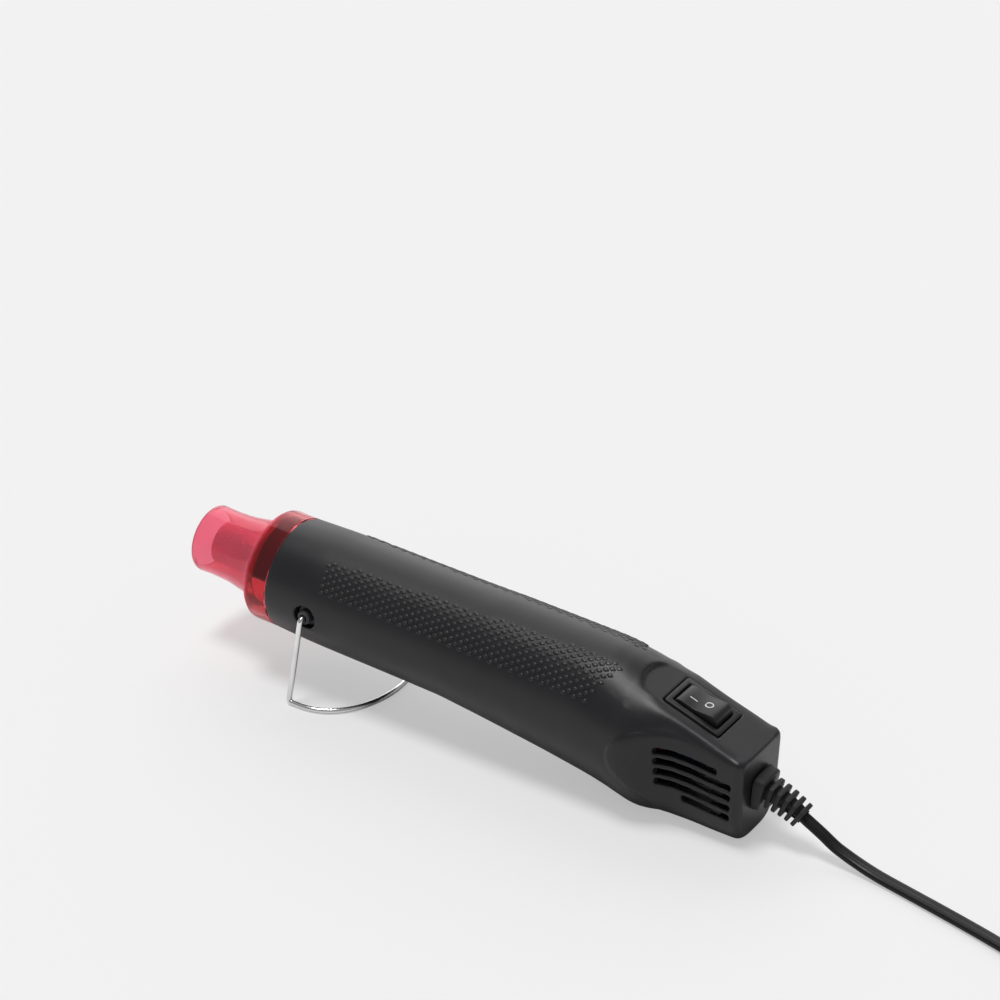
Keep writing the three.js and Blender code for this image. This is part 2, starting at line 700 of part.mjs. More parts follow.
// a ceramic disc in the neck of the duct carries the heater's ends and the thermal fuse
function makeTerminalDisc() {
  let disc = ring(ductX + 0.4, ductX + 1.8, 1.2, tubeRadius - 0.1, 18);
  for (let i = 0; i < 4; i += 1) {
    const a = Math.PI / 4 + i * Math.PI / 2;
    const [y, z] = [4.3 * Math.cos(a), 4.3 * Math.sin(a)];
    disc = cut(disc, bar([ductX - 2, y, z], [ductX + 4, y, z], 1.9, 8));
  }
  place(tool, 'terminal_disc', disc, colours.ceramic, 0.6);
  const fuse = bar([ductX + 1.8 + fit, 0, -5.2], [ductX + 9, 0, -5.2], 1.3, 12);
  place(tool, 'thermal_fuse', fuse, colours.steel, 0.4, 0.8);
}

// air duct and fan shroud in one moulding
function makeDuct() {
  const neck = tubeRadius + 0.3;
  const lip = fanRadius + fanTipGap;
  const profile = [
    [ductX - fit, neck], [ductX - fit, tubeFlangeRadius], [ductX + 1.2, tubeFlangeRadius],
    [ductX + 2, neck + 2], [ductX + 12, shroudRadius], [fanX + 10, shroudRadius], [fanX + 10, lip],
    [ductX + 12.6, lip], [ductX + 3, neck],
  ];
  place(tool, 'fan_duct', cut(turned(profile, 22), ...heaterRoom), colours.fan, 0.55);
}

// a hub with twisted blades, each a loft over three chords
function makeFan() {
  let fan = ring(fanX, fanX + 7, shaftRadius + fit, 4, 18);
  for (let i = 0; i < fanBlades; i += 1) {
    const a = 2 * Math.PI * i / fanBlades;
    const chords = [[3.4, 0.95, 3.2], [0.6 * fanRadius, 0.7, 3.9], [fanRadius - 0.2, 0.5, 4.2]];
    fan = fan.add(loft(chords.map(([r, pitch, chord]) => (
      [[-chord, -0.45], [chord, -0.45], [chord, 0.45], [-chord, 0.45]].map(([u, v]) => {
        const x = fanX + 3.5 + 0.8 * (u * Math.sin(pitch) + v * Math.cos(pitch));
        const t = u * Math.cos(pitch) - v * Math.sin(pitch);
        return new THREE.Vector3(x, r * Math.cos(a) - t * Math.sin(a), r * Math.sin(a) + t * Math.cos(a));
      })))));
  }
  place(tool, 'fan_impeller', fan, colours.fan, 0.5);
}

function makeMotor() {
  const inside = motorRadius - motorSheet;
  const seat = bearingRadius + fit;
  const can = [[motorX, seat], [motorX, motorRadius], [motorEnd, motorRadius], [motorEnd, inside],
    [motorX + motorSheet, inside], [motorX + motorSheet, seat]];
  place(tool, 'motor_can', turned(can), colours.steel, 0.35, 1);
  let cap = ring(motorEnd + fit, motorEnd + 3.3, seat, motorRadius);
  for (const y of [-6.2, 6.2]) {
    cap = cut(cap, box(motorEnd - 1, motorEnd + 5, y - 0.8, y + 0.8, -2.1, 2.1));
  }
  place(tool, 'motor_end_cap', cap, colours.fan, 0.5);
  for (const [name, y] of [['motor_terminal_1', -6.2], ['motor_terminal_2', 6.2]]) {
    const tab = box(motorEnd - 0.5, boardX - fit, y - 0.4, y + 0.4, -1.7, 1.7);
    place(tool, name, tab, colours.brass, 0.35, 1);
  }
  const bore = shaftRadius + fit;
  const bearings = [['front_bearing', motorX - 1.2, 2.8], ['rear_bearing', motorEnd + 0.6, 2.6]];
  for (const [name, x, length] of bearings) {
    place(tool, name, ring(x, x + length, bore, bearingRadius, 14), colours.copper, 0.45, 1);
  }
  const shaft = bar([fanX - 1, 0, 0], [motorEnd + 4.4, 0, 0], shaftRadius, 12);
  place(tool, 'motor_shaft', shaft, colours.steel, 0.25, 1);
  for (const [name, middle] of [['motor_magnet_1', 0], ['motor_magnet_2', Math.PI]]) {
    const magnet = arcSolid(motorX + 4.5, motorX + 16.5, magnetRadius, inside - fit, middle, 1.1, 8);
    place(tool, name, magnet, colours.magnet, 0.6);
  }
}

// three poles on the shaft, each with its winding, and the commutator
function makeArmature() {
  const [x0, x1] = [motorX + 6, motorX + 15];
  let core = ring(x0, x1, shaftRadius + fit, 2.7, 18);
  for (let i = 0; i < 3; i += 1) {
    const turn = new THREE.Matrix4().makeRotationX(i * 2 * Math.PI / 3);
    core = core.add(box(x0, x1, -1.3, 1.3, 2, armatureRadius - 1.2, turn));
    const shoe = arcSolid(x0, x1, armatureRadius - 1.4, armatureRadius, Math.PI / 2, 0.86, 5);
    core = core.add(shoe.transform(turn.elements));
    const winding = cut(
      box(x0 - 1.6, x1 + 1.6, -2.8, 2.8, 3.4, armatureRadius - 2.4, turn),
      box(x0 - fit, x1 + fit, -1.3 - fit, 1.3 + fit, 3, 6, turn),
    );
    place(tool, 'armature_winding_' + (i + 1), winding, colours.copper, 0.4, 0.8);
  }
  place(tool, 'armature_core', core, colours.magnet, 0.4, 0.9);
  const commutator = ring(motorEnd - 4.6, motorEnd - 1.6, shaftRadius + fit, 2.6, 16);
  place(tool, 'commutator', commutator, colours.copper, 0.3, 1);
}

// a rubber ring between the motor and the ribs, with holes for the air
function makeCradle() {
  let cradle = ring(cradleX, cradleX + cradleLength, motorRadius + fit, 17.7 * girth, 22);
  for (const turn of [-1.5, -0.5, 0.5, 3.5, 4.5, 5.5]) {
    const a = turn * Math.PI / 4;
    const [y, z] = [15 * girth * Math.cos(a), 15 * girth * Math.sin(a)];
    cradle = cut(cradle, bar([cradleX - 1, y, z], [cradleX + cradleLength + 1, y, z], 1.7, 8));
  }
  place(tool, 'motor_cradle', cut(cradle, ...heaterRoom), colours.rubber, 0.8);
}

function makeBoard() {
  const board = bar([boardX, 0, 0], [boardBack, 0, 0], boardRadius, 24);
  place(tool, 'rectifier_board', board, colours.board, 0.6);
  const x = boardBack + 1.35 + fit;
  const spots = [[-4, -4.6], [-4, -0.6], [4, -4.6], [4, -0.6]];
  spots.forEach(([y, z], i) => {
    place(tool, 'diode_' + (i + 1), bar([x, y - 2.5, z], [x, y + 2.5, z], 1.35, 10), colours.rubber, 0.5);
  });
}

function makeLeads() {
  for (const [name, points] of Object.entries(leadRuns)) {
    const colour = name === 'lead_neutral' ? colours.blue : colours.lead;
    place(tool, name, swept(run(points, 16), leadRadius, 6), colour, 0.6);
  }
  heaterPaths.forEach((points, i) => {
    place(tool, 'heater_lead_' + (i + 1), swept(points, heaterLeadRadius, 6), colours.white, 0.6);
  });
}

// the switch: a body whose bezel sits in a pocket, two tabs, and the rocker in its on position
function makeSwitch() {
  const [halfLong, halfWide] = switchHalf;
  const rockerHalf = switchWidth / 2 - 2.6;
  const bezelFloor = fit - switchPocket;
  const bezel = loft([[bezelFloor, 0], [bezelHeight - 0.6, 0], [bezelHeight, 0.5]].map(([n, inset]) => {
    const [s, y] = [switchLength / 2 - inset, switchWidth / 2 - inset];
    return [onFace(-s, y, n), onFace(s, y, n), onFace(s, -y, n), onFace(-s, -y, n)];
  }));
  const axle = [-1, 1].map((side) => onFace(0, side * (halfWide + 1), -rockerPivotDepth).toArray());
  const tabSlot = (s) => {
    const [half, thick] = [tabHalfWidth + fit, tabThickness / 2 + fit];
    return box(s - half, s + half, -thick, thick, -switchDepth - 1, -6, faceFrame);
  };
  const body = cut(
    join(bezel, box(-halfLong, halfLong, -halfWide, halfWide, -switchDepth, bezelFloor + touch, faceFrame)),
    box(-rockerReach - fit, rockerReach + fit, -rockerHalf - 0.4, rockerHalf + 0.4, -7, 6, faceFrame),
    tabSlot(-tabOffset), tabSlot(tabOffset), bar(axle[0], axle[1], 1.2, 12),
  );
  place(tool, 'switch_body', body, colours.rubber, 0.4);
  for (const [name, s] of [['switch_terminal_1', -tabOffset], ['switch_terminal_2', tabOffset]]) {
    const tab = box(s - tabHalfWidth, s + tabHalfWidth, -tabThickness / 2, tabThickness / 2,
      -tabLength - 7.4, -7.4, faceFrame);
    place(tool, name, tab, colours.brass, 0.35, 1);
  }

  const rearEnd = [-0.34, -0.16, 0.03, 0.21].map((a) => (
    new THREE.Vector2(rockerReach * Math.cos(a), rockerReach * Math.sin(a))
  ));
  for (const [back, height] of [[0.5, 2.45], [1.1, 3], [1.8, 3.35], [2.6, 3.47]]) {
    rearEnd.push(new THREE.Vector2(rockerReach - back, height));
  }
  const frontEnd = rearEnd.map((p) => new THREE.Vector2(-p.x, p.y)).reverse();
  const shape = new THREE.Shape([...rearEnd, new THREE.Vector2(0, 2.7), ...frontEnd]);
  const key = new THREE.ExtrudeGeometry(shape, { depth: 2 * rockerHalf, bevelEnabled: false });
  key.rotateX(Math.PI / 2);
  key.translate(0, rockerHalf, 0);
  const frame = faceFrame.clone()
    .multiply(new THREE.Matrix4().makeTranslation(0, 0, -rockerPivotDepth))
    .multiply(new THREE.Matrix4().makeRotationY(-rockerThrow / 2));
  const pin = new THREE.CylinderGeometry(0.9, 0.9, 2 * halfWide - 0.4, 10);
  const rocker = join(solidOf(key.applyMatrix4(frame)), solidOf(pin.applyMatrix4(frame)));
  place(tool, 'switch_rocker', rocker, colours.rocker, 0.35);
}

// a screw along y with a crossed head, whose head sits on the seat
function makeScrew(name, x, z, seat, tip, headRadius, radius) {
  const screw = join(
    bar([x, seat + fit, z], [x, seat + fit + 1.9, z], headRadius, 12, headRadius - 0.4),
    bar([x, tip, z], [x, seat + fit + touch, z], radius, 8),
  );
  const cross = [[1.5, 0.3], [0.3, 1.5]].map(([a, b]) => (
    box(x - a, x + a, seat + 1.5, seat + 4, z - b, z + b)
  ));
  place(tool, name, cut(screw, ...cross), colours.steel, 0.35, 1);
}

// strain relief: a flange inside the rear wall, a squared root outside it, then square ribs
const reliefStart = rear - wall - 3.1;
const reliefLength = rootLength - 1.8 + ribPitch * ribCount;
const reliefPath = new THREE.CatmullRomCurve3([
  [reliefStart, 0], [rear - 1, 0], [rear + 2.5, -0.15], [rear + 2.5 + reliefLength * 0.35, -1.3],
  [rear + 2.5 + reliefLength * 0.7, -3.3], [rear + 2.5 + reliefLength * 0.98, -5.6],
].map(([x, drop]) => new THREE.Vector3(x, 0, cordDrop + drop)), false, 'centripetal');
const reliefTotal = reliefPath.getLength();

function reliefRing(distance, size, power) {
  const u = Math.min(distance / reliefTotal, 1);
  const p = reliefPath.getPointAt(u);
  const t = reliefPath.getTangentAt(u);
  const up = new THREE.Vector3(-t.z, 0, t.x);
  return Array.from({ length: 8 }, (_, i) => {
    const a = 2 * Math.PI * (i + 0.5) / 8;
    const [y, z] = [Math.cos(a), Math.sin(a)].map((v) => Math.sign(v) * Math.abs(v) ** (2 / power));
    return p.clone().addScaledVector(up, z * size / 2).add(new THREE.Vector3(0, y * size / 2, 0));
  });
}

// the cord's points inside the tool and through the relief
const cordInTool = [rear - 14, rear - 12, rear - 10].map((x) => new THREE.Vector3(x, 0, cordDrop));
for (let i = 0; i <= 8; i += 1) {
  cordInTool.push(reliefPath.getPointAt(i / 8));
}

function makeRelief() {
  const [inner, outer] = [rear - wall - reliefStart, rear - reliefStart];
  const rings = [
    [0, reliefFlange, 2], [inner - fit - touch, reliefFlange, 2], [inner - fit, reliefNeck, 2],
    [outer + fit, reliefNeck, 2], [outer + fit + touch, reliefRoot, 5],
    [outer + rootLength, reliefRoot - 0.8, 5], [outer + rootLength + touch, ribSize - 2.8, 3.2],
  ];
  for (let i = 0; i < ribCount; i += 1) {
    const from = outer + rootLength + 1.2 + i * ribPitch;
    const size = ribSize - 0.34 * i;
    rings.push([from, size - 2.6, 3.2], [from + touch, size, 3.6]);
    rings.push([from + ribPitch / 2, size, 3.6], [from + ribPitch / 2 + touch, size - 2.8, 3.2]);
  }
  const tunnel = cordInTool.slice(3);
  tunnel.unshift(tunnel[0].clone().multiplyScalar(2).sub(tunnel[1]));
  const last = tunnel.length - 1;
  tunnel.push(tunnel[last].clone().multiplyScalar(2).sub(tunnel[last - 1]));
  const room = solidOf(swept(tunnel, cordWidth / 2 + 0.45, 8, cordThickness / 2 + 0.45));
  place(tool, 'strain_relief', cut(loft(rings.map((r) => reliefRing(...r))), room), colours.rubber, 0.6);
}

function makeClamp() {
  const [near, far] = [2.7, 4.7];
  let plate = box(clampX - 2.6, clampX + 2.6, near, far, clampPosts[1] - 2.1, clampPosts[0] + 2.1);
  for (const z of clampPosts) {
    plate = cut(plate, bar([clampX, 0, z], [clampX, 8, z], 1.35, 12));
  }
  place(tool, 'cord_clamp', plate, colours.fan, 0.5);
  clampPosts.forEach((z, i) => makeScrew('clamp_screw_' + (i + 1), clampX, z, far, -5.4, 2, 1));
}

// stand: one bent wire on the floor, whose ends turn in two bushes
function makeStand() {
  const radius = standWire / 2;
  const pivot = toFloor(...onPivot(0));
  const bendY = neckEnd + standBend + 0.15;
  const footX = pivot.x - standRake;
  const footZ = radius + floorGap;
  const leg = bent([
    new THREE.Vector3(pivot.x, -bossReach + 0.8, pivot.z),
    new THREE.Vector3(pivot.x, -bendY, pivot.z),
    new THREE.Vector3(footX, -standHalfWidth, footZ),
    new THREE.Vector3(footX + 5, -standHalfWidth - 0.2, footZ),
  ], standBend, 4).slice(0, -1);
  const footStart = 4.2;
  const foot = [];
  for (let i = 0; i <= 16; i += 1) {
    const a = Math.PI * (i / 16 - 0.5);
    const x = footX + footStart + (standReach - footStart) * Math.cos(a) ** 0.92;
    foot.push(new THREE.Vector3(x, standHalfWidth * Math.sin(a), footZ));
  }
  const otherLeg = leg.map((p) => new THREE.Vector3(p.x, -p.y, p.z)).reverse();
  place(root, 'stand_wire', swept([...leg, ...foot, ...otherLeg], radius, 6), colours.steel, 0.2, 1);
  for (const [name, side] of [['stand_bush_left', -1], ['stand_bush_right', 1]]) {
    const at = (y) => onPivot(side * y);
    const bush = join(
      bar(at(socketFloor + fit), at(socketFloor + 1.1), bushRadius, 18),
      bar(at(bossReach - 0.6), at(socketFloor + 0.6), 2.6, 12),
      bar(at(socketFloor + 1), at(neckEnd), bushNeck, 12),
    );
    const bore = bar(at(bossReach - 2), at(neckEnd + 1), radius + fit, 10);
    place(tool, name, cut(bush, bore), colours.rubber, 0.5);
  }
}

// Cord: down from the relief, along the floor to a coil, and a short end with the plug.
const halfW = cordWidth / 2;
const halfT = cordThickness / 2;
const lie = halfT + 0.15;
const reliefEnd = reliefPath.getPointAt(1);
const exit = toFloor(reliefEnd.x, 0, reliefEnd.z);
const coilX = exit.x + coilFromExit;
const coilBase = floorGap + tieThickness + fit + halfT;

function makeCord() {
  const inTool = cordInTool.map((p) => toFloor(p.x, p.y, p.z));
  const route = [
    [0, 0, exit.z], [6.3, 0, 8.5], [10.8, -0.1, 5.9], [15.3, -0.2, 4.2], [19.8, -0.5, 3], [24.3, -1, 2.2],
    [29.1, -1.6, 1.7], [36.6, -2.8, lie], [50.6, -5.4, lie], [65.6, -8.4, lie], [81.6, -12, lie],
    [coilFromExit - 18, coilSide + 1, lie], [coilFromExit - 7, coilSide, coilBase],
    [coilFromExit - fit, coilSide, coilBase],
  ];
  const free = run(route.map(([x, y, z]) => [exit.x + x, y, z]), 20);
  place(onFloor, 'power_cord', swept([...inTool, ...free.slice(1)], halfW, 8, halfT), colours.rubber, 0.6);
}

// the coil spirals in and out again, a layer at a time, and climbs where the spiral turns back
const turnsPerLayer = coilTurns / coilLayers;
const coilSpread = turnsPerLayer * (cordWidth + coilGap) / 2;
const coilOuter = coilMiddleRadius + coilSpread;
const coilCentreX = coilX + cordWidth;
const coilCentreY = coilSide + coilOuter;
const coilTop = coilBase + (coilLayers - 1) * (cordThickness + coilGap);
const stepsPerTurn = 24;

function coilPoint(turns) {
  const outward = Math.abs((turns / turnsPerLayer) % 2 - 1);
  const radius = coilMiddleRadius + coilSpread * (2 * outward - 1);
  const a = 2 * Math.PI * turns - Math.PI / 2;
  let z = coilBase;
  for (let i = 1; i < coilLayers; i += 1) {
    const climb = THREE.MathUtils.smoothstep(turns, i * turnsPerLayer - 0.25, i * turnsPerLayer + 0.25);
    z += climb * (cordThickness + coilGap);
  }
  return new THREE.Vector3(coilCentreX + radius * Math.cos(a), coilCentreY + radius * Math.sin(a), z);
}

// the least gap between flat turns: their distance less the cord's own width along that line
function leastGap(points) {
  let least = Infinity;
  for (let i = 0; i < points.length; i += 1) {
    for (let j = i + stepsPerTurn / 2; j < points.length; j += 1) {
      const apart = points[j].clone().sub(points[i]);
      const distance = apart.length();
      const level = Math.hypot(apart.x, apart.y) / distance;
      least = Math.min(least, distance - 2 * Math.hypot(halfW * level, halfT * apart.z / distance));
    }
  }
  return least;
}

function makeCoil() {
  const points = [new THREE.Vector3(coilX, coilSide, coilBase)];
  for (let i = 0; i <= coilTurns * stepsPerTurn; i += 1) {
    points.push(coilPoint(i / stepsPerTurn));
  }
  points.push(new THREE.Vector3(coilCentreX + cordWidth, coilSide, coilTop));
  console.log('least gap of the coil to itself, mm:', leastGap(points).toFixed(2));
  place(onFloor, 'cord_coil', swept(points, halfW, 6, halfT), colours.rubber, 0.6);
}

// a flat band round all the turns, at the side nearest the tool
function makeTie() {
  const from = coilCentreX - coilOuter - halfW - fit - touch;
  const to = coilCentreX - coilMiddleRadius + coilSpread + halfW + fit;
  const top = coilTop + halfT + fit;
  const [low, half, t] = [floorGap, tieWidth / 2, tieThickness];
  const band = cut(
    box(from - t, to + t, coilCentreY - half, coilCentreY + half, low, top + t),
    box(from, to, coilCentreY - tieWidth, coilCentreY + tieWidth, low + t, top),
  );
  place(onFloor, 'cord_tie', band, colours.rubber, 0.7);
}

function makeTailAndPlug() {
  const tail = [
    [cordWidth + fit, 0, coilTop], [12, 0, coilTop], [20, -0.2, coilTop - 0.5], [31, 0.2, coilTop - 3.4],
    [42, 1, plugHeight + 0.4], [52, 1.4, plugHeight], [60, 1.4, plugHeight],
  ];
  const tailPoints = run(tail.map(([x, y, z]) => [coilCentreX + x, coilSide + y, z]), 14);
  place(onFloor, 'cord_tail', swept(tailPoints, halfW, 8, halfT), colours.rubber, 0.6);

  const [plugX, plugY] = [coilCentreX + 52, coilSide + 1.4];
  const about = (x0, x1, y, halfY, halfZ) => (
    box(plugX + x0, plugX + x1, plugY + y - halfY, plugY + y + halfY, plugHeight - halfZ, plugHeight + halfZ)
  );
  const sections = [
    [0, 3.4, 2.9], [4, 4.2, 3.4], [10, 8, 4.6], [13, 10.6, 4.85], [22, 11, 4.85], [23.4, 10.4, 4.4],
  ];
  const plug = loft(sections.map(([x, wide, high]) => (
    oblong(16, wide, high, 3.3).map(([y, z]) => new THREE.Vector3(plugX + x, plugY + y, plugHeight + z))
  )));
  const blades = [-bladeSpacing / 2, bladeSpacing / 2];
  const slots = blades.map((y) => about(17, 25, y, bladeThickness / 2 + fit, bladeWidth / 2 + fit));
  const body = cut(plug, about(-1, 8 + fit, 0, halfW + fit, halfT + fit), ...slots);
  place(onFloor, 'plug_body', body, colours.rubber, 0.55);
  blades.forEach((y, i) => {
    const blade = about(17 + fit, 39.5, y, bladeThickness / 2, bladeWidth / 2);
    place(onFloor, 'plug_blade_' + (i + 1), blade, colours.brass, 0.3, 1);
  });
}

makeHousing();
makeGuard();
makeOutlet();
makeHeater();
makeTerminalDisc();
makeDuct();
makeFan();
makeMotor();
makeArmature();
makeCradle();
makeBoard();
makeLeads();
makeSwitch();
screwSpots.forEach(([x, z], i) => {
  const seat = screwSeat(x, z);
  makeScrew('housing_screw_' + (i + 1), x, z, seat, 2 - seat, screwHead, screwRadius);
});
makeRelief();
makeClamp();
makeStand();
makeCord();
makeCoil();
makeTie();
makeTailAndPlug();

// the origin is under the middle of the tool at floor level, with the cord left out of the measure
root.updateMatrixWorld(true);
const bounds = new THREE.Box3();
for (const piece of [tool, root.getObjectByName('stand_wire')]) {
  bounds.expandByObject(piece, true);
}
root.position.x = -(bounds.min.x + bounds.max.x) / 2;
root.updateMatrixWorld(true);

export default root;
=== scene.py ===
import json
import math

import bmesh
import bpy
from mathutils import Matrix, Vector
from mathutils.kdtree import KDTree


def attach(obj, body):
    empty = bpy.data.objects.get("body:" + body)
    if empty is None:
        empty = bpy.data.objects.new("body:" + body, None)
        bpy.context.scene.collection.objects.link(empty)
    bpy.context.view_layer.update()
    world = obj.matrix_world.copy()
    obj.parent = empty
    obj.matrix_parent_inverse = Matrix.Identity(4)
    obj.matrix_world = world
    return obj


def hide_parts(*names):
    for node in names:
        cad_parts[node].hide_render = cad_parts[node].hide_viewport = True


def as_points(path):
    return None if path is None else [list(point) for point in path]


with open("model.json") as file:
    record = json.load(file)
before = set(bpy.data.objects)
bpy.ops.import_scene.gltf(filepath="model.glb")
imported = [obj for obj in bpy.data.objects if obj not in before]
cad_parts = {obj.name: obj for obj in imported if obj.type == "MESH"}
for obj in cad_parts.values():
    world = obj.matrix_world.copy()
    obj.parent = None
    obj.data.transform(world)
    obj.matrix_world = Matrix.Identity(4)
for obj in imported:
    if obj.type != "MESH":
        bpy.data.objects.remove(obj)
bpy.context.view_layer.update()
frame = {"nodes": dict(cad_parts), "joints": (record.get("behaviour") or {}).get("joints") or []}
scene = bpy.context.scene
scene.view_settings.view_transform = "Standard"

# The tool is made in millimetres along its own barrel: x runs from the front edge of the black
# housing back to the cord, y to the right and z up. It is laid down in its resting pose at the end.

resting = {"noseUp": math.radians(1.87), "axisHeight": 34.15}

barrel = {
    "length": 186, "wall": 2.1, "seam": 0.02, "fit": 0.3, "around": 200, "frontRound": 0.8, "frontIn": 0.5,
    "rearRound": 3, "rearIn": 2.1, "rearInBelow": 3.2, "voxel": 0.36, "quickVoxel": 0.7, "keepFaces": 0.33,
}
rear = barrel["length"]
fit = barrel["fit"]

# distance along, half width, height above the axis, depth below it, squareness above and below
stations = [
    (0, 20.0, 20.0, 20.0, 2, 2),
    (8, 20.3, 20.3, 20.3, 2, 2),
    (20, 20.6, 20.7, 20.5, 2, 2),
    (45, 20.7, 20.8, 20.4, 2, 2),
    (68, 20.7, 21.0, 20.5, 2, 2),
    (rear - 108, 20.9, 21.1, 21.3, 2, 2),
    (rear - 98, 21.0, 21.4, 22.4, 2, 2),
    (rear - 79, 21.2, 21.4, 24.8, 2, 2),
    (rear - 62, 21.4, 21.3, 26.8, 2, 2.08),
    (rear - 56, 21.5, 21.2, 27.4, 1.95, 2.15),
    (rear - 50, 21.6, 20.3, 27.9, 1.9, 2.3),
    (rear - 45, 21.7, 19.0, 28.1, 1.9, 2.55),
    (rear - 42, 21.6, 18.0, 28.2, 2, 2.75),
    (rear - 39, 21.0, 17.3, 28.2, 2, 3.1),
    (rear - 36, 19.9, 16.9, 28.3, 2.1, 3.4),
    (rear - 32, 17.6, 16.1, 28.4, 2.6, 3.6),
    (rear - 28, 15.2, 14.9, 28.4, 3.4, 3.6),
    (rear - 24, 13.9, 13.9, 28.5, 4.5, 3.8),
    (rear - 18, 13.2, 12.6, 28.6, 5.5, 3.8),
    (rear - 10, 12.9, 10.2, 28.7, 6, 3.8),
    (rear - 4, 12.7, 8.2, 28.6, 6, 3.8),
    (rear, 12.5, 7.0, 28.4, 6, 3.8),
]


# makers of plain solids, in millimetres

def circle(sides, shift=0):  # the cosine and sine of even turns
    turns = [2 * math.pi * (i + shift) / sides for i in range(sides)]
    return [(math.cos(a), math.sin(a)) for a in turns]


def powered(value, power):
    return math.copysign(abs(value) ** power, value) if abs(value) > 1e-9 else 0


def steps(low, high, pitch):
    count = max(round((high - low) / pitch), 1)
    return [low + (high - low) * i / count for i in range(count + 1)]


edgeOn = Matrix(((1, 0, 0, 0), (0, 0, 1, 0), (0, 1, 0, 0), (0, 0, 0, 1)))  # stands a flat outline up along y


def newPiece(name, mesh):
    piece = bpy.data.objects.new(name, mesh)
    scene.collection.objects.link(piece)
    return piece


def solid(name, points, faces):
    mesh = bpy.data.meshes.new(name)
    mesh.from_pydata([tuple(p) for p in points], [], faces)
    work = bmesh.new()
    work.from_mesh(mesh)
    bmesh.ops.remove_doubles(work, verts=work.verts, dist=1e-5)
    bmesh.ops.recalc_face_normals(work, faces=work.faces)
    work.to_mesh(mesh)
    work.free()
    return newPiece(name, mesh)


def loft(name, rings, closed=False):  # a skin over rings with the same number of points
    count, total = len(rings[0]), len(rings)
    faces = []
    for i in range(total if closed else total - 1):
        a, b = i * count, (i + 1) % total * count
        faces += [(a + j, a + (j + 1) % count, b + (j + 1) % count, b + j) for j in range(count)]
    if not closed:
        faces += [tuple(range(count)), tuple(range((total - 1) * count, total * count))]
    return solid(name, [p for ring in rings for p in ring], faces)


def turned(name, profile, sides=96):  # [x, radius] pairs turned about the barrel's axis
    return loft(name, [[(x, r * s, r * c) for c, s in circle(sides)] for x, r in profile], closed=True)


def bar(name, start, end, radius, sides=32):
    start, end = Vector(start), Vector(end)
    turn = (end - start).to_track_quat("Z", "Y")
    ring = [turn @ Vector((radius * c, radius * s, 0)) for c, s in circle(sides)]
    return loft(name, [[centre + p for p in ring] for centre in (start, end)])


def block(name, low, high, matrix=None):
    matrix = matrix or Matrix()
    (x0, y0, z0), (x1, y1, z1) = low, high
    ring = ((y0, z0), (y1, z0), (y1, z1), (y0, z1))
    return loft(name, [[matrix @ Vector((x, y, z)) for y, z in ring] for x in (x0, x1)])


def prism(name, outline, low, high, matrix):  # a flat outline pushed along its third direction
    return loft(name, [[matrix @ Vector((u, v, w)) for u, v in outline] for w in (low, high)])


def merged(name, pieces):  # one mesh of several that don't touch
    work = bmesh.new()
    for piece in pieces:
        work.from_mesh(piece.data)
    mesh = bpy.data.meshes.new(name)
    work.to_mesh(mesh)
    work.free()
    discard(*pieces)
    return newPiece(name, mesh)


def discard(*pieces):
    for piece in pieces:
        mesh = piece.data
        bpy.data.objects.remove(piece)
        bpy.data.meshes.remove(mesh)


def settle(piece):  # keeps what the modifiers give as a plain mesh
    graph = bpy.context.evaluated_depsgraph_get()
    mesh = bpy.data.meshes.new_from_object(piece.evaluated_get(graph), depsgraph=graph)
    piece.modifiers.clear()
    old, piece.data = piece.data, mesh
    bpy.data.meshes.remove(old)
    mesh.name = piece.name
    return piece


def carve(piece, tool, how="DIFFERENCE"):
    step = piece.modifiers.new(how, "BOOLEAN")
    step.object, step.operation, step.solver = tool, how, "MANIFOLD"
    settle(piece)
    discard(tool)
    return piece


def soften(piece, width, segments=3, angle=30):  # rounds the edges of a crisp piece
    step = piece.modifiers.new("edge", "BEVEL")
    step.width, step.segments, step.limit_method = width, segments, "ANGLE"
    step.angle_limit = math.radians(angle)
    return settle(piece)


def shadeSmooth(piece, angle=40):
    work = bmesh.new()
    work.from_mesh(piece.data)
    for face in work.faces:
        face.smooth = True
    for edge in work.edges:
        edge.smooth = len(edge.link_faces) == 2 and edge.calc_face_angle(0) < math.radians(angle)
    work.to_mesh(piece.data)
    work.free()
    return piece


def along(xs, ys):  # a smooth value between stations, with no overshoot
    slopes = [(ys[i + 1] - ys[i]) / (xs[i + 1] - xs[i]) for i in range(len(xs) - 1)]
    ends = [(slopes[max(i - 1, 0)], slopes[min(i, len(slopes) - 1)]) for i in range(len(xs))]
    m = [0 if a * b <= 0 else 2 * a * b / (a + b) for a, b in ends]

    def value(x):
        i = max(min(sum(at < x for at in xs) - 1, len(xs) - 2), 0)
        h = xs[i + 1] - xs[i]
        t = min(max((x - xs[i]) / h, 0), 1)
        a, b = (2 * t - 3) * t * t + 1, ((t - 2) * t + 1) * t * h
        return a * ys[i] + b * m[i] + (1 - a) * ys[i + 1] + (t - 1) * t * t * h * m[i + 1]
    return value


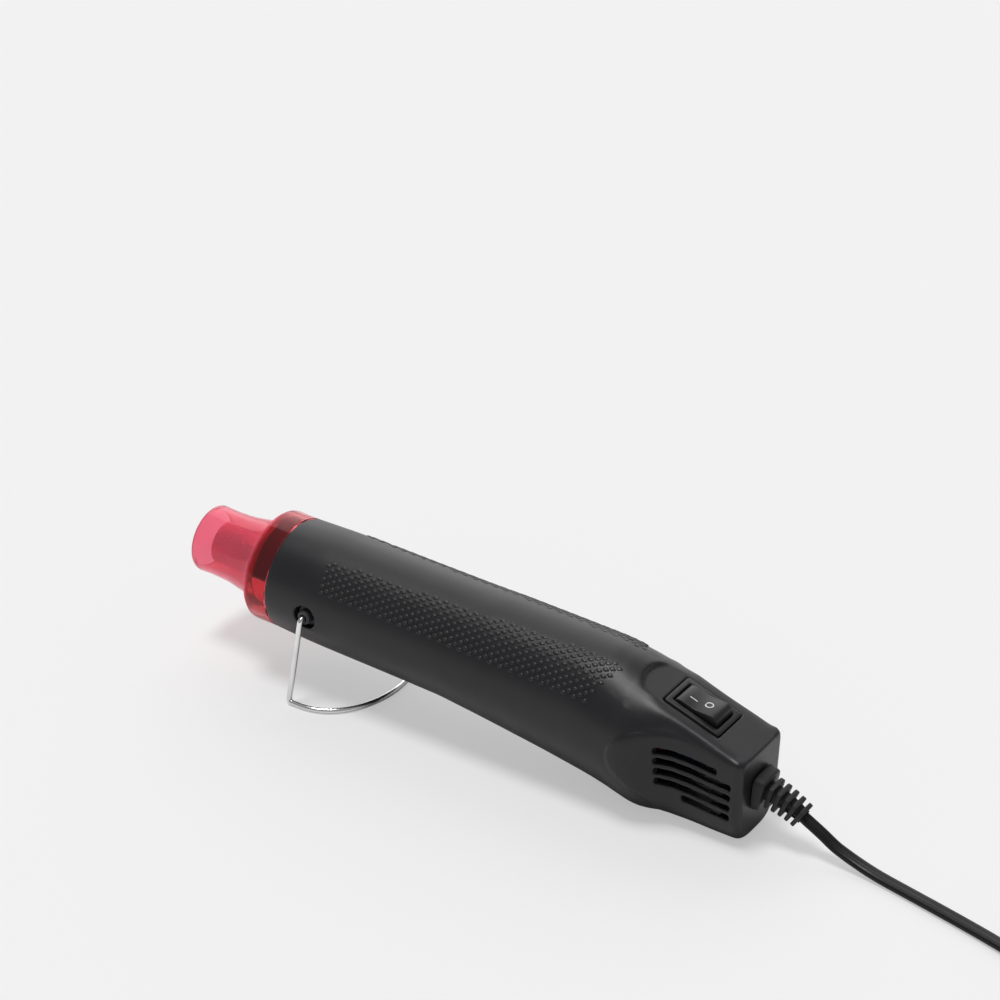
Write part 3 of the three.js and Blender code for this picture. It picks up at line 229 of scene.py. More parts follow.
def smoothRun(points, count):  # an even run of points on a smooth curve through a few
    points = [Vector(p) for p in points]
    line = [2 * points[0] - points[1], *points, 2 * points[-1] - points[-2]]
    fine = []
    for a, b, c, d in zip(line, line[1:], line[2:], line[3:]):
        gaps = [max((q - p).length, 1e-6) ** 0.5 for p, q in ((a, b), (b, c), (c, d))]
        left = ((b - a) / gaps[0] - (c - a) / (gaps[0] + gaps[1]) + (c - b) / gaps[1]) * gaps[1]
        right = ((c - b) / gaps[1] - (d - b) / (gaps[1] + gaps[2]) + (d - c) / gaps[2]) * gaps[1]
        for i in range(40):
            t = i / 40
            w = (2 * t - 3) * t * t + 1
            fine.append(w * b + (t - 2 * t * t + t ** 3) * left + (1 - w) * c + (t ** 3 - t * t) * right)
    fine.append(points[-1])
    return evenly(fine, count)


def evenly(line, count):
    lengths = [0]
    for p, q in zip(line, line[1:]):
        lengths.append(lengths[-1] + (q - p).length)
    out, i = [], 0
    for k in range(count + 1):
        want = lengths[-1] * k / count
        while i < len(line) - 2 and lengths[i + 1] < want:
            i += 1
        share = (want - lengths[i]) / max(lengths[i + 1] - lengths[i], 1e-9)
        out.append(line[i].lerp(line[i + 1], min(share, 1)))
    return out


def pathFrames(points, level):  # tangent, side and up at each point of a path
    frames, side = [], None
    for i, p in enumerate(points):
        tangent = (points[min(i + 1, len(points) - 1)] - points[max(i - 1, 0)]).normalized()
        if level or side is None:
            steep = abs(tangent.z) > 0.9 and not level
            side = (Vector((1, 0, 0)) if steep else Vector((0, 0, 1))).cross(tangent).normalized()
        else:
            side = (side - tangent * side.dot(tangent)).normalized()
        frames.append((p, tangent, side, tangent.cross(side)))
    return frames


def swept(name, points, outline, level=False):
    rings = [[p + side * u + up * v for u, v in outline] for p, _, side, up in pathFrames(points, level)]
    return loft(name, rings)


def roundOutline(radius, sides):
    return [(radius * c, radius * s) for c, s in circle(sides)]


# where things lie

standJoint = next(j for j in frame["joints"] if j["name"] == "stand_fold")
stand = {
    "wire": 2, "pivotX": 17.8, "pivotZ": -1, "halfWidth": 27.2, "reach": 26.3, "straight": 4.2, "rake": 2.7,
    "bend": 1.3, "bush": 4, "neck": 2.4, "socketFloor": 16.9, "neckEnd": 21, "bossReach": 14.2, "lift": 0.02,
}
lean = Matrix.Rotation(resting["noseUp"], 4, "Y")
shiftX = standJoint["pos_m"][0] * 1000 - (lean @ Vector((stand["pivotX"], 0, stand["pivotZ"]))).x
layDown = Matrix.Translation((shiftX, 0, resting["axisHeight"])) @ lean
toMetres = Matrix.Scale(0.001, 4)
fromFloor = layDown.inverted()


def finishPiece(piece, body, slot, material, *nodes, onTool=True):
    piece.data.transform(toMetres @ layDown if onTool else toMetres)
    piece.data.materials.clear()
    piece.data.materials.append(material)
    piece.data.polygons.foreach_set("material_index", [0] * len(piece.data.polygons))
    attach(piece, body)
    if nodes:
        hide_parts(*nodes)
    return piece


# camera at the photograph's own angle

camera = {
    "azimuth": math.radians(34.24), "elevation": math.radians(30.05), "distance": 0.91986,
    "target": (0.002642, 0, 0.09106), "lens": 101.97, "sensor": 36,
}


def makeCamera():
    a, e = camera["azimuth"], camera["elevation"]
    back = Vector((math.sin(a) * math.cos(e), -math.cos(a) * math.cos(e), math.sin(e)))
    data = bpy.data.cameras.new("camera")
    data.lens, data.sensor_width = camera["lens"], camera["sensor"]
    data.clip_start, data.clip_end = 0.01, 20
    view = bpy.data.objects.new("camera", data)
    scene.collection.objects.link(view)
    view.location = Vector(camera["target"]) + back * camera["distance"]
    view.rotation_mode = "QUATERNION"
    view.rotation_quaternion = (-back).to_track_quat("-Z", "Y")
    scene.camera = view
    print("camera placed")


makeCamera()


# nodes, for the materials and for Geometry Nodes

class Nodes:
    def node(self, kind, wires=None, **settings):  # a wire is a socket to link or a plain value
        made = self.tree.nodes.new(kind)
        for label, value in settings.items():
            setattr(made, label, value)
        for label, value in (wires or {}).items():
            if isinstance(value, bpy.types.NodeSocket):
                self.tree.links.new(value, made.inputs[label])
            else:
                made.inputs[label].default_value = value
        return made


# materials: each has its own short function, with its mottling, its patches of gloss and its grain

class Finish(Nodes):
    def __init__(self, name, colour, roughness, metallic=0.0, **sockets):
        self.material = bpy.data.materials.new(name)
        self.material.use_nodes = True
        self.tree = self.material.node_tree
        self.shader = self.tree.nodes["Principled BSDF"]
        self.shader.inputs["Base Color"].default_value = (*colour, 1)
        self.shader.inputs["Roughness"].default_value = roughness
        self.shader.inputs["Metallic"].default_value = metallic
        for label, value in sockets.items():
            self.shader.inputs[label.replace("_", " ")].default_value = value
        self.colour = colour
        self.place = self.node("ShaderNodeTexCoord").outputs["Object"]

    def link(self, output, label):
        self.tree.links.new(output, self.shader.inputs[label])

    def noise(self, scale, detail, stretch):
        place = self.place
        if stretch:
            place = self.node("ShaderNodeMapping", {"Vector": place, "Scale": stretch}).outputs[0]
        return self.node("ShaderNodeTexNoise", {"Vector": place, "Scale": scale, "Detail": detail}).outputs[0]

    def mottle(self, scale, amount, detail=3, stretch=None):  # light and dark patches of the colour
        ramp = self.node("ShaderNodeValToRGB", {"Fac": self.noise(scale, detail, stretch)})
        low, high = ramp.color_ramp.elements
        low.position, high.position = 0.3, 0.7
        low.color = (*[c * (1 - amount) for c in self.colour], 1)
        high.color = (*[min(c * (1 + amount), 1) for c in self.colour], 1)
        self.link(ramp.outputs[0], "Base Color")
        return ramp.outputs[0]

    def patchyGloss(self, scale, low, high, detail=4, stretch=None):
        spread = self.node("ShaderNodeMapRange", {
            "Value": self.noise(scale, detail, stretch), "From Min": 0.3, "From Max": 0.7,
            "To Min": low, "To Max": high,
        })
        self.link(spread.outputs[0], "Roughness")

    def grain(self, scale, depth, strength=1.0, detail=2, stretch=None):
        bump = self.node("ShaderNodeBump", {
            "Height": self.noise(scale, detail, stretch), "Distance": depth, "Strength": strength,
        })
        self.link(bump.outputs[0], "Normal")


# mottle holds a scale and an amount, gloss a scale and its two roughnesses, grain a scale and a depth
def finished(name, colour, roughness, metallic, mottle, gloss, grain=None, stretch=None, **sockets):
    look = Finish(name, colour, roughness, metallic, **sockets)
    stretch = stretch or {}
    look.mottle(*mottle, stretch=stretch.get("mottle"))
    look.patchyGloss(*gloss, stretch=stretch.get("gloss"))
    if grain:
        look.grain(*grain, stretch=stretch.get("grain"))
    return look.material


def housingPlastic():  # satin black moulding, spark-eroded grain, a little polish from handling
    return finished("housingPlastic", (0.013, 0.013, 0.015), 0.4, 0, (90, 0.12), (55, 0.34, 0.4),
                    (5200, 0.00003), IOR=1.4)


def gripPlastic():  # the raised dots are rubbed a little glossier than the shell
    return finished("gripPlastic", (0.015, 0.015, 0.017), 0.36, 0, (200, 0.15), (120, 0.32, 0.4),
                    (6000, 0.00001), IOR=1.4)


# the collar band's colour is painted shade, a darker red where the black spigot lies behind it; its extra
# clearness is real
redBand = {"from": -8.2, "full": -7.4, "shadedTint": (0.82, 0.14, 0.16, 1), "bellClear": 0.74, "bandClear": 0.95}


def clearRed():  # a milky clear bell, and a band round the collar that is clearer, so the black spigot behind shows through, and painted a darker, deeper red as painted shade from that spigot
    look = Finish("clearRed", (1.0, 0.19, 0.28), 0.08, IOR=1.3, Transmission_Weight=redBand["bellClear"])
    bell = look.mottle(40, 0.04)
    axis = layDown.to_3x3() @ Vector((1, 0, 0))
    edge = layDown.translation.dot(axis)
    reach = look.node("ShaderNodeVectorMath", {0: look.place, 1: axis}, operation="DOT_PRODUCT")
    band = look.node("ShaderNodeMapRange", {
        "Value": reach.outputs["Value"], "From Min": (edge + redBand["from"]) / 1000,
        "From Max": (edge + redBand["full"]) / 1000, "To Min": 0, "To Max": 1,
    }).outputs[0]
    # painted shade: the collar band's colour blends towards a darker red
    shadedTint = look.node("ShaderNodeMix", {0: band, 6: bell, 7: redBand["shadedTint"]}, data_type="RGBA").outputs[2]
    look.link(shadedTint, "Base Color")
    clear = look.node("ShaderNodeMapRange", {
        "Value": band, "To Min": redBand["bellClear"], "To Max": redBand["bandClear"],
    }).outputs[0]
    look.link(clear, "Transmission Weight")
    look.patchyGloss(60, 0.04, 0.1)
    look.grain(150, 0.00004, 0.5)
    return look.material


def tubeSteel():  # mottling, patchy gloss and grain, each with its own stretch
    return finished("tubeSteel", (0.60, 0.59, 0.57), 0.3, 1.0, (30, 0.12), (70, 0.24, 0.4), (900, 0.00001),
                    {"mottle": (4, 1, 1), "gloss": (1, 8, 8), "grain": (1, 12, 12)})


def shieldSteel():
    return finished("shieldSteel", (0.55, 0.56, 0.58), 0.38, 1.0, (60, 0.1), (90, 0.3, 0.46), (1400, 0.00001))


def standChrome():
    return finished("standChrome", (0.78, 0.78, 0.79), 0.16, 1.0, (80, 0.08), (140, 0.12, 0.24),
                    (700, 0.000008))


# near-black steel, painted this dark as painted shade so the clamp screws seen through the vents read black;
# the housing screws share it
def screwSteel():
    return finished("screwSteel", (0.12, 0.12, 0.13), 0.34, 1.0, (260, 0.2), (300, 0.25, 0.45),
                    (2500, 0.00001))


def micaSheet():
    return finished("micaSheet", (0.50, 0.41, 0.24), 0.55, 0, (220, 0.3, 5), (160, 0.4, 0.7), (900, 0.00003))


def heatingWire():
    return finished("heatingWire", (0.30, 0.28, 0.27), 0.45, 0.9, (240, 0.25), (260, 0.35, 0.6),
                    (2000, 0.00001))


def whiteCeramic():
    return finished("whiteCeramic", (0.70, 0.67, 0.60), 0.6, 0, (120, 0.08), (200, 0.5, 0.7), (1800, 0.00002))


def heatproofMoulding():
    return finished("heatproofMoulding", (0.030, 0.031, 0.035), 0.5, 0, (80, 0.15), (70, 0.42, 0.58),
                    (3200, 0.00002))


def windingCopper():
    return finished("windingCopper", (0.58, 0.27, 0.12), 0.32, 0.9, (150, 0.15), (200, 0.25, 0.4),
                    (3000, 0.00006), {"grain": (1, 1, 0.1)})


def bearingBronze():
    return finished("bearingBronze", (0.50, 0.32, 0.17), 0.42, 1.0, (240, 0.18), (220, 0.34, 0.5),
                    (2600, 0.00002))


def contactBrass():
    return finished("contactBrass", (0.66, 0.52, 0.26), 0.3, 1.0, (110, 0.12), (150, 0.22, 0.4),
                    (1500, 0.000008), {"gloss": (1, 6, 1), "grain": (1, 8, 1)})


def ferrite():
    return finished("ferrite", (0.055, 0.055, 0.060), 0.6, 0.3, (260, 0.2), (200, 0.5, 0.7), (2200, 0.00003))


def motorSteel():
    return finished("motorSteel", (0.50, 0.51, 0.52), 0.36, 1.0, (90, 0.1), (120, 0.3, 0.45), (1600, 0.00001),
                    {"gloss": (6, 1, 1), "grain": (8, 1, 1)})


def blackRubber():
    return finished("blackRubber", (0.014, 0.014, 0.015), 0.5, 0, (140, 0.2), (90, 0.46, 0.62),
                    (2600, 0.00003), IOR=1.42)


def cordJacket():  # soft vinyl with a faint sheen and small scuffs
    return finished("cordJacket", (0.006, 0.006, 0.007), 0.46, 0, (110, 0.2), (75, 0.34, 0.52),
                    (1500, 0.00003), IOR=1.33)


def switchPlastic():
    return finished("switchPlastic", (0.010, 0.010, 0.011), 0.36, 0, (160, 0.15), (110, 0.32, 0.42),
                    (4200, 0.00001), IOR=1.42)


def markPaint():
    return finished("markPaint", (0.62, 0.62, 0.62), 0.5, 0, (900, 0.12), (500, 0.42, 0.58))


def boardLaminate():
    return finished("boardLaminate", (0.03, 0.12, 0.05), 0.4, 0, (500, 0.15, 4), (240, 0.32, 0.48),
                    (1800, 0.00002))


def diodeEpoxy():
    return finished("diodeEpoxy", (0.012, 0.012, 0.013), 0.35, 0, (300, 0.2), (260, 0.28, 0.44),
                    (3000, 0.00001))


def sleeving(name, colour):
    return finished(name, colour, 0.5, 0, (180, 0.12), (140, 0.42, 0.58), (1600, 0.00002))


looks = {material.name: material for material in (
    housingPlastic(), gripPlastic(), clearRed(), tubeSteel(), shieldSteel(), standChrome(), screwSteel(),
    micaSheet(), heatingWire(), whiteCeramic(), heatproofMoulding(), windingCopper(), bearingBronze(),
    contactBrass(), ferrite(), motorSteel(), blackRubber(), cordJacket(), switchPlastic(), markPaint(),
    # redSleeve is painted much darker than red sleeving, as painted shade, so the leads seen through the
    # vents read black
    boardLaminate(), diodeEpoxy(), sleeving("redSleeve", (0.12, 0.012, 0.01)),
    sleeving("blueSleeve", (0.03, 0.08, 0.28)), sleeving("glassSleeve", (0.62, 0.62, 0.60)),
)}
print("materials made")


# what carries a cord: the relief's own path, and the route along the floor

relief = {
    "drop": -10, "start": rear - 5.2, "flange": 11, "neck": 8.4, "root": 12.8, "rootLength": 3.4,
    "ribs": 5, "pitch": 2.75, "rib": 9, "shrink": 0.34, "core": 3.2,
}
reliefLength = relief["rootLength"] - 1.8 + relief["pitch"] * relief["ribs"]
reliefStops = [
    (relief["start"], 0), (rear - 1, 0), (rear + 2.5, -0.15), (rear + 2.5 + reliefLength * 0.35, -1.3),
    (rear + 2.5 + reliefLength * 0.7, -3.3), (rear + 2.5 + reliefLength * 0.98, -5.6),
]
reliefLine = smoothRun([(x, 0, relief["drop"] + drop) for x, drop in reliefStops], 120)

cord = {
    "width": 4.8, "thickness": 2.7, "groove": 0.3, "middleRadius": 28, "turns": 7, "layers": 4,
    "gap": 0.6, "coilFromExit": 114.6, "side": -16, "tie": 0.5, "tieWidth": 6, "plugHeight": 5,
    "stepsPerTurn": 48,
}
lie = cord["thickness"] / 2 + 0.15
coilBase = stand["lift"] + cord["tie"] + fit + cord["thickness"] / 2
perLayer = cord["turns"] / cord["layers"]
coilSpread = perLayer * (cord["width"] + cord["gap"]) / 2
coilOuter = cord["middleRadius"] + coilSpread
coilTop = coilBase + (cord["layers"] - 1) * (cord["thickness"] + cord["gap"])
cordExit = layDown @ reliefLine[-1]
coilX = cordExit.x + cord["coilFromExit"]
coilCentre = Vector((coilX + cord["width"], cord["side"] + coilOuter, 0))


def smoothStep(x, low, high):
    t = min(max((x - low) / (high - low), 0), 1)
    return t * t * (3 - 2 * t)


def coilPoint(turns):
    outward = abs(turns / perLayer % 2 - 1)
    radius = cord["middleRadius"] + coilSpread * (2 * outward - 1)
    a = 2 * math.pi * turns - math.pi / 2
    climbs = [i * perLayer for i in range(1, cord["layers"])]
    climbed = sum(smoothStep(turns, middle - 0.25, middle + 0.25) for middle in climbs)
    z = coilBase + climbed * (cord["thickness"] + cord["gap"])
    return Vector((coilCentre.x + radius * math.cos(a), coilCentre.y + radius * math.sin(a), z))


def cordRoute():
    inTool = [layDown @ Vector((rear - back, 0, relief["drop"])) for back in (14, 12, 10)]
    inTool += [layDown @ p for p in evenly(reliefLine, 16)]
    far = cord["coilFromExit"]
    free = [
        (0, 0, cordExit.z), (6.3, 0, 8.5), (10.8, -0.1, 5.9), (15.3, -0.2, 4.2), (19.8, -0.5, 3),
        (24.3, -1, 2.2), (29.1, -1.6, 1.7), (36.6, -2.8, lie), (50.6, -5.4, lie), (65.6, -8.4, lie),
        (81.6, -12, lie), (far - 18, cord["side"] + 1, lie), (far - 7, cord["side"], coilBase),
        (far, cord["side"], coilBase),
    ]
    onFloor = smoothRun([(cordExit.x + x, y, z) for x, y, z in free], 64)
    coiled = [coilPoint(turns) for turns in steps(0, cord["turns"], 1 / cord["stepsPerTurn"])]
    tail = [
        (cord["width"] + fit, 0, coilTop), (12, 0, coilTop), (20, -0.2, coilTop - 0.5),
        (31, 0.2, coilTop - 3.4), (42, 1, cord["plugHeight"] + 0.4), (52, 1.4, cord["plugHeight"]),
        (60, 1.4, cord["plugHeight"]),
    ]
    toPlug = smoothRun([(coilCentre.x + x, cord["side"] + y, z) for x, y, z in tail], 34)
    return inTool + onFloor[1:] + coiled + toPlug


def cordOutline():  # two cores side by side, so a shallow groove runs along each flat face
    outline = []
    for c, s in circle(28):
        u = cord["width"] / 2 * powered(c, 0.85)
        v = cord["thickness"] / 2 * powered(s, 0.8)
        dip = cord["groove"] * math.exp(-(u / 0.45) ** 2)
        outline.append((u, v - math.copysign(dip, v) if abs(v) > dip else v))
    return outline


def makeCord():
    route = cordRoute()
    length = sum((q - p).length for p, q in zip(route, route[1:])) / 1000
    piece = shadeSmooth(swept("mains_cord", route, cordOutline(), level=True), 60)
    finishPiece(piece, "housing", "rubber", looks["cordJacket"], "power_cord", "cord_coil", "cord_tail",
                onTool=False)
    leaves = layDown @ Vector((rear, 0, relief["drop"])) * 0.001
    print("cord made,", round(length, 3), "m long")
    return piece, [p * 0.001 for p in route], tuple(leaves), length


cordPiece, cordPath, cordLeaves, cordLength = makeCord()


def makeTie():
    left = coilCentre.x - coilOuter - cord["width"] / 2 - fit - 0.1
    right = coilCentre.x - cord["middleRadius"] + coilSpread + cord["width"] / 2 + fit
    top = coilTop + cord["thickness"] / 2 + fit
    low, t, half = stand["lift"], cord["tie"], cord["tieWidth"] / 2
    y = coilCentre.y
    band = block("tie_band", (left - t, y - half, low), (right + t, y + half, top + t))
    carve(band, block("tie_hole", (left, y - 2 * half, low + t), (right, y + 2 * half, top)))
    shadeSmooth(soften(band, 0.18, 2))
    finishPiece(band, "housing", "rubber", looks["blackRubber"], "cord_tie", onTool=False)
    return band


plug = {
    "from": 52, "side": 1.4, "length": 23.4, "squareness": 3.3, "ringPitch": 0.3, "startRound": 0.5,
    "endRound": 0.3, "holeDepth": 8.3,
    "sections": [
        (0, 3.4, 2.9), (4, 4.2, 3.4), (10, 8, 4.6), (13, 10.6, 4.85), (22, 11, 4.85), (23.4, 10.4, 4.4),
    ],
    "ribs": 4, "ribsFrom": 12, "ribPitch": 2.1, "ribDepth": 0.35,
    "bladeSpacing": 12.7, "blade": (1.5, 6.35), "bladeFrom": 17.3, "tip": 39.5, "slotFrom": 17, "slotTo": 25,
    "slotRoom": 0.05, "pinHoleAt": 36, "pinHole": 1.6,
}


def plugRing(centre, x, wide, high):
    ribsTo = plug["ribsFrom"] + plug["ribs"] * plug["ribPitch"]
    if plug["ribsFrom"] < x < ribsTo:
        wide -= plug["ribDepth"] * max(math.sin(2 * math.pi * (x - plug["ribsFrom"]) / plug["ribPitch"]), 0)
    inset = max(0, plug["startRound"] - x) + max(0, x - plug["length"] + plug["endRound"])
    power = 2 / plug["squareness"]
    return [centre + Vector((x, (wide - inset) * powered(c, power), (high - inset) * powered(s, power)))
            for c, s in circle(64)]


def bladeBlock(name, centre, y, start, end, room=0):
    thick, wide = plug["blade"][0] / 2 + room, plug["blade"][1] / 2 + room
    return block(name, centre + Vector((start, y - thick, -wide)), centre + Vector((end, y + thick, wide)))


def makePlug():
    centre = Vector((coilCentre.x + plug["from"], cord["side"] + plug["side"], cord["plugHeight"]))
    xs, wides, highs = zip(*plug["sections"])
    wideAt, highAt = along(xs, wides), along(xs, highs)
    places = steps(0, plug["length"], plug["ringPitch"])
    body = loft("plug_grip", [plugRing(centre, x, wideAt(x), highAt(x)) for x in places])
    halfWide, halfHigh = cord["width"] / 2 + fit, cord["thickness"] / 2 + fit
    carve(body, block("plug_hole", centre + Vector((-1, -halfWide, -halfHigh)),
                      centre + Vector((plug["holeDepth"], halfWide, halfHigh))))
    blades = []
    for number, side in (("1", -1), ("2", 1)):
        y = side * plug["bladeSpacing"] / 2
        carve(body, bladeBlock("plug_slot", centre, y, plug["slotFrom"], plug["slotTo"], plug["slotRoom"]))
        blade = bladeBlock("plug_pin_" + number, centre, y, plug["bladeFrom"], plug["tip"])
        ends = [centre + Vector((plug["pinHoleAt"], y + across, 0)) for across in (-2, 2)]
        carve(blade, bar("pin_hole", *ends, plug["pinHole"], 24))
        shadeSmooth(soften(blade, 0.25, 3))
        finishPiece(blade, "housing", "brass", looks["contactBrass"], "plug_blade_" + number, onTool=False)
        blades.append(blade)
    shadeSmooth(body, 50)
    finishPiece(body, "housing", "rubber", looks["blackRubber"], "plug_body", onTool=False)
    print("tie and plug made")
    return [body, *blades]


cordExtras = [makeTie(), *makePlug()]


# Geometry Nodes for what repeats

class Sheet(Nodes):  # a node tree with named inputs, run on one piece
    def __init__(self, name, **sockets):
        self.tree = bpy.data.node_groups.new(name, "GeometryNodeTree")
        kinds = {"Object": "NodeSocketObject", "Size": "NodeSocketFloat"}
        self.tree.interface.new_socket("Geometry", in_out="INPUT", socket_type="NodeSocketGeometry")
        self.sockets = {}
        for label, kind in sockets.items():
            made = self.tree.interface.new_socket(label, in_out="INPUT", socket_type=kinds[kind])
            self.sockets[label] = made.identifier
        self.tree.interface.new_socket("Geometry", in_out="OUTPUT", socket_type="NodeSocketGeometry")
        self.start = self.node("NodeGroupInput").outputs

    def attribute(self, name):
        made = self.node("GeometryNodeInputNamedAttribute", {"Name": name}, data_type="FLOAT_VECTOR")
        return made.outputs["Attribute"]

    def end(self, geometry):
        whole = self.node("GeometryNodeRealizeInstances", {"Geometry": geometry}).outputs[0]
        self.node("NodeGroupOutput", {"Geometry": whole})

    def run(self, piece, **values):
        step = piece.modifiers.new("nodes", "NODES")
        step.node_group = self.tree
        for label, value in values.items():
            step[self.sockets[label]] = value
        return settle(piece)


def pointPiece(name, points, **attributes):  # loose points that carry their own turn and stretch
    mesh = bpy.data.meshes.new(name)
    mesh.from_pydata([tuple(p) for p in points], [], [])
    for label, values in attributes.items():
        layer = mesh.attributes.new(label, "FLOAT_VECTOR", "POINT")
        for i, value in enumerate(values):
            layer.data[i].vector = value
    return newPiece(name, mesh)


def makeSetOut():  # sets a part out on points, each turned and stretched by the point's own values
    sheet = Sheet("setOut", Part="Object")
    part = sheet.node("GeometryNodeObjectInfo", {"Object": sheet.start["Part"]}).outputs["Geometry"]
    copies = sheet.node("GeometryNodeInstanceOnPoints", {
        "Points": sheet.start["Geometry"], "Instance": part, "Rotation": sheet.attribute("turn"),
        "Scale": sheet.attribute("stretch"),
    }).outputs[0]
    sheet.end(copies)
    return sheet


setOut = makeSetOut()


# housing

switchFace = {
    "tilt": math.radians(16.1), "fromRear": 22.84, "height": 11.14, "halfWidth": 12.6, "archFrom": 7.4,
    "archReach": 14.4,
}
switch = {
    "length": 21.4, "width": 15, "pocket": 1.2, "bezel": 0.6, "bodyHalfLong": 9.5, "bodyHalfWide": 6.1,
    "depth": 13, "reach": 8.4, "throw": math.radians(16.6), "pivotDepth": 1, "tabOffset": 5,
    "tabHalfWidth": 2.4, "tabThickness": 0.8, "corner": 0.9,
}
vent = {
    "count": 5, "pitch": 3.95, "height": 2.4, "slope": 0.07, "fromRear": 17, "first": -0.2, "from": -13.7,
    "later": 0.3, "to": 13.4, "firstTo": 8, "lastFrom": -3.9, "side": 23, "through": 34,
}
sidePanel = {
    "rise": 0.8,
    "soft": [
        (6, 2), (-5, 5.2), (-12, 6.7), (-32, 6.8), (-35.5, 6.5), (-38, 5.6), (-41, 3.4), (-43, 1.4),
        (-44.3, -0.5), (-45, -3.5), (-44.8, -6.5), (-43.8, -9.2), (-40, -12.9), (-37.4, -15.5),
        (-33.7, -17.8), (-30.4, -22.5), (-28.4, -28), (-27, -40),
    ],
}
guard = {"length": 38.7, "rim": 12.1, "throat": 14.4, "collar": 9.4, "wall": 1.6, "collarOuter": 20}
spigot = {"outer": 18.1, "inner": 16.1, "length": 6.9}
outlet = {"radius": 7.5, "sheet": 0.5, "front": -33.1, "rear": 46, "flange": 12}
shield = {"front": 3.3, "radius": 17.6, "lip": 10, "ribFrom": 1.3, "ribTo": 2.5, "ribBore": 15.2}
fan = {"x": 62, "radius": 14.2}
motor = {"x": 76, "radius": 12, "length": 24, "boardX": 110}
screw = {"radius": 1.2, "head": 2.5, "boss": 3.1, "tip": 2, "cross": 0.6, "crossHalf": 0.3, "crossFrom": 1.1}
clamp = {
    "x": rear - 9, "posts": (relief["drop"] + 6.2, relief["drop"] - 6.2), "post": 2.1, "bore": 1.3, "head": 2,
    "radius": 1, "seat": 4.7, "tip": -5.4,
}
screwSpots = [(30, 13.1), (30, -13.1), (rear - 60, -19.5), (rear - 10, -22.3)]
ductX = outlet["rear"] + 0.6
shroudRadius = fan["radius"] + 2
cradleX = motor["x"] + 8

columns = list(zip(*stations))
widthAt, topAt, depthAt, topPower, lowPower = [along(columns[0], column) for column in columns[1:]]
faceX = rear - switchFace["fromRear"]
faceFrame = Matrix.Translation((faceX, 0, switchFace["height"])) @ Matrix.Rotation(switchFace["tilt"], 4, "Y")
besideTool = Matrix.Translation((rear, 0, 0)) @ edgeOn


def section(x, inset, count, extraWidth=0):
    wide = widthAt(x) - inset + extraWidth
    ring = []
    for c, s in circle(count):
        power = 2 / (topPower(x) if s >= 0 else lowPower(x))
        reach = (topAt(x) if s >= 0 else depthAt(x)) - inset
        ring.append(Vector((x, wide * powered(c, power), reach * powered(s, power))))
    return ring


def bodySkin(name, distances, extraWidth=0):
    rings = []
    for x in distances:
        front = max(0, 1 - x / barrel["frontRound"])
        rings.append(section(x, barrel["frontIn"] * front * front, barrel["around"], extraWidth))
    for d in (barrel["rearRound"], 2.6, 2.2, 1.8, 1.4, 1, 0.7, 0.4, 0.2, 0.07, 0):
        x = rear - d
        share = 1 - math.sqrt(1 - (1 - d / barrel["rearRound"]) ** 2)
        end = section(x, 0, barrel["around"], extraWidth)
        for p in end:
            inward, room = (barrel["rearInBelow"], depthAt(x)) if p.z < 0 else (barrel["rearIn"], topAt(x))
            p.y *= 1 - barrel["rearIn"] * share / widthAt(x)
            p.z *= 1 - inward * share / room
        rings.append(end)
    return loft(name, rings)


def panelLine():
    return smoothRun([(u, v, 0) for u, v in sidePanel["soft"]], 90)


def sidePanels():
    outline = [(p.x, p.y) for p in panelLine()] + [(6, -40)]
    slab = prism("panel_outline", outline, -30, 30, besideTool)
    return carve(bodySkin("panels", steps(rear - 49, rear - 3.5, 0.8), sidePanel["rise"]), slab, "INTERSECT")


def archLine():
    half, start, reach = switchFace["halfWidth"], switchFace["archFrom"], switchFace["archReach"]
    turns = [math.pi * i / 64 for i in range(65)]
    return [(-start - reach * math.sin(a), half * math.cos(a)) for a in turns]


def faceCut():
    side, start = switchFace["halfWidth"] + 6, 0.5 - switchFace["archFrom"]
    outline = [(40, side), (start, side), *archLine(), (start, -side), (40, -side)]
    return prism("face_cut", outline, 0, 30, faceFrame)


def underFloor(lift):
    return block("under_floor", (-300, -60, -40), (300, 60, lift), fromFloor)


def insideBy(name, depth, count, pitch):
    rings = [section(x, depth, count) for x in steps(3, rear - 62, 4 * pitch)]
    rings += [section(x, depth, count) for x in steps(rear - 60, rear - depth, pitch)]
    skin = loft(name, rings)
    carve(skin, block("above_face", (-60, -30, -depth), (60, 30, 40), faceFrame))
    return carve(skin, underFloor(depth))


def crossBar(name, x, z, y0, y1, radius, sides=32):
    return bar(name, (x, y0, z), (x, y1, z), radius, sides)


def screwSeat(x, z):
    share = abs(z) / (topAt(x) if z > 0 else depthAt(x))
    return max(widthAt(x) * math.sqrt(max(1 - share ** 2.2, 0.05)) - 4.5, 4)


def heaterLeadRoom():
    back = motor["boardX"]
    tubes = []
    for y in (-3, 3):
        route = [
            (back - 0.3, y, 9.5), (back - 3, y, 10.3), (back - 5.5, y, 13.6), (back - 10, y, 15),
            (motor["x"] + 4, y, 15.2), (fan["x"] + 12, y, 17), (fan["x"] - 2, y, 17.1), (ductX + 9, y, 15),
            (ductX + 5, y, 10), (ductX + 2.8, 0.87 * y, 4.4),
        ]
        tubes.append(swept("heater_room", smoothRun(route, 60), roundOutline(1.15, 16)))
    return merged("heater_room", tubes)


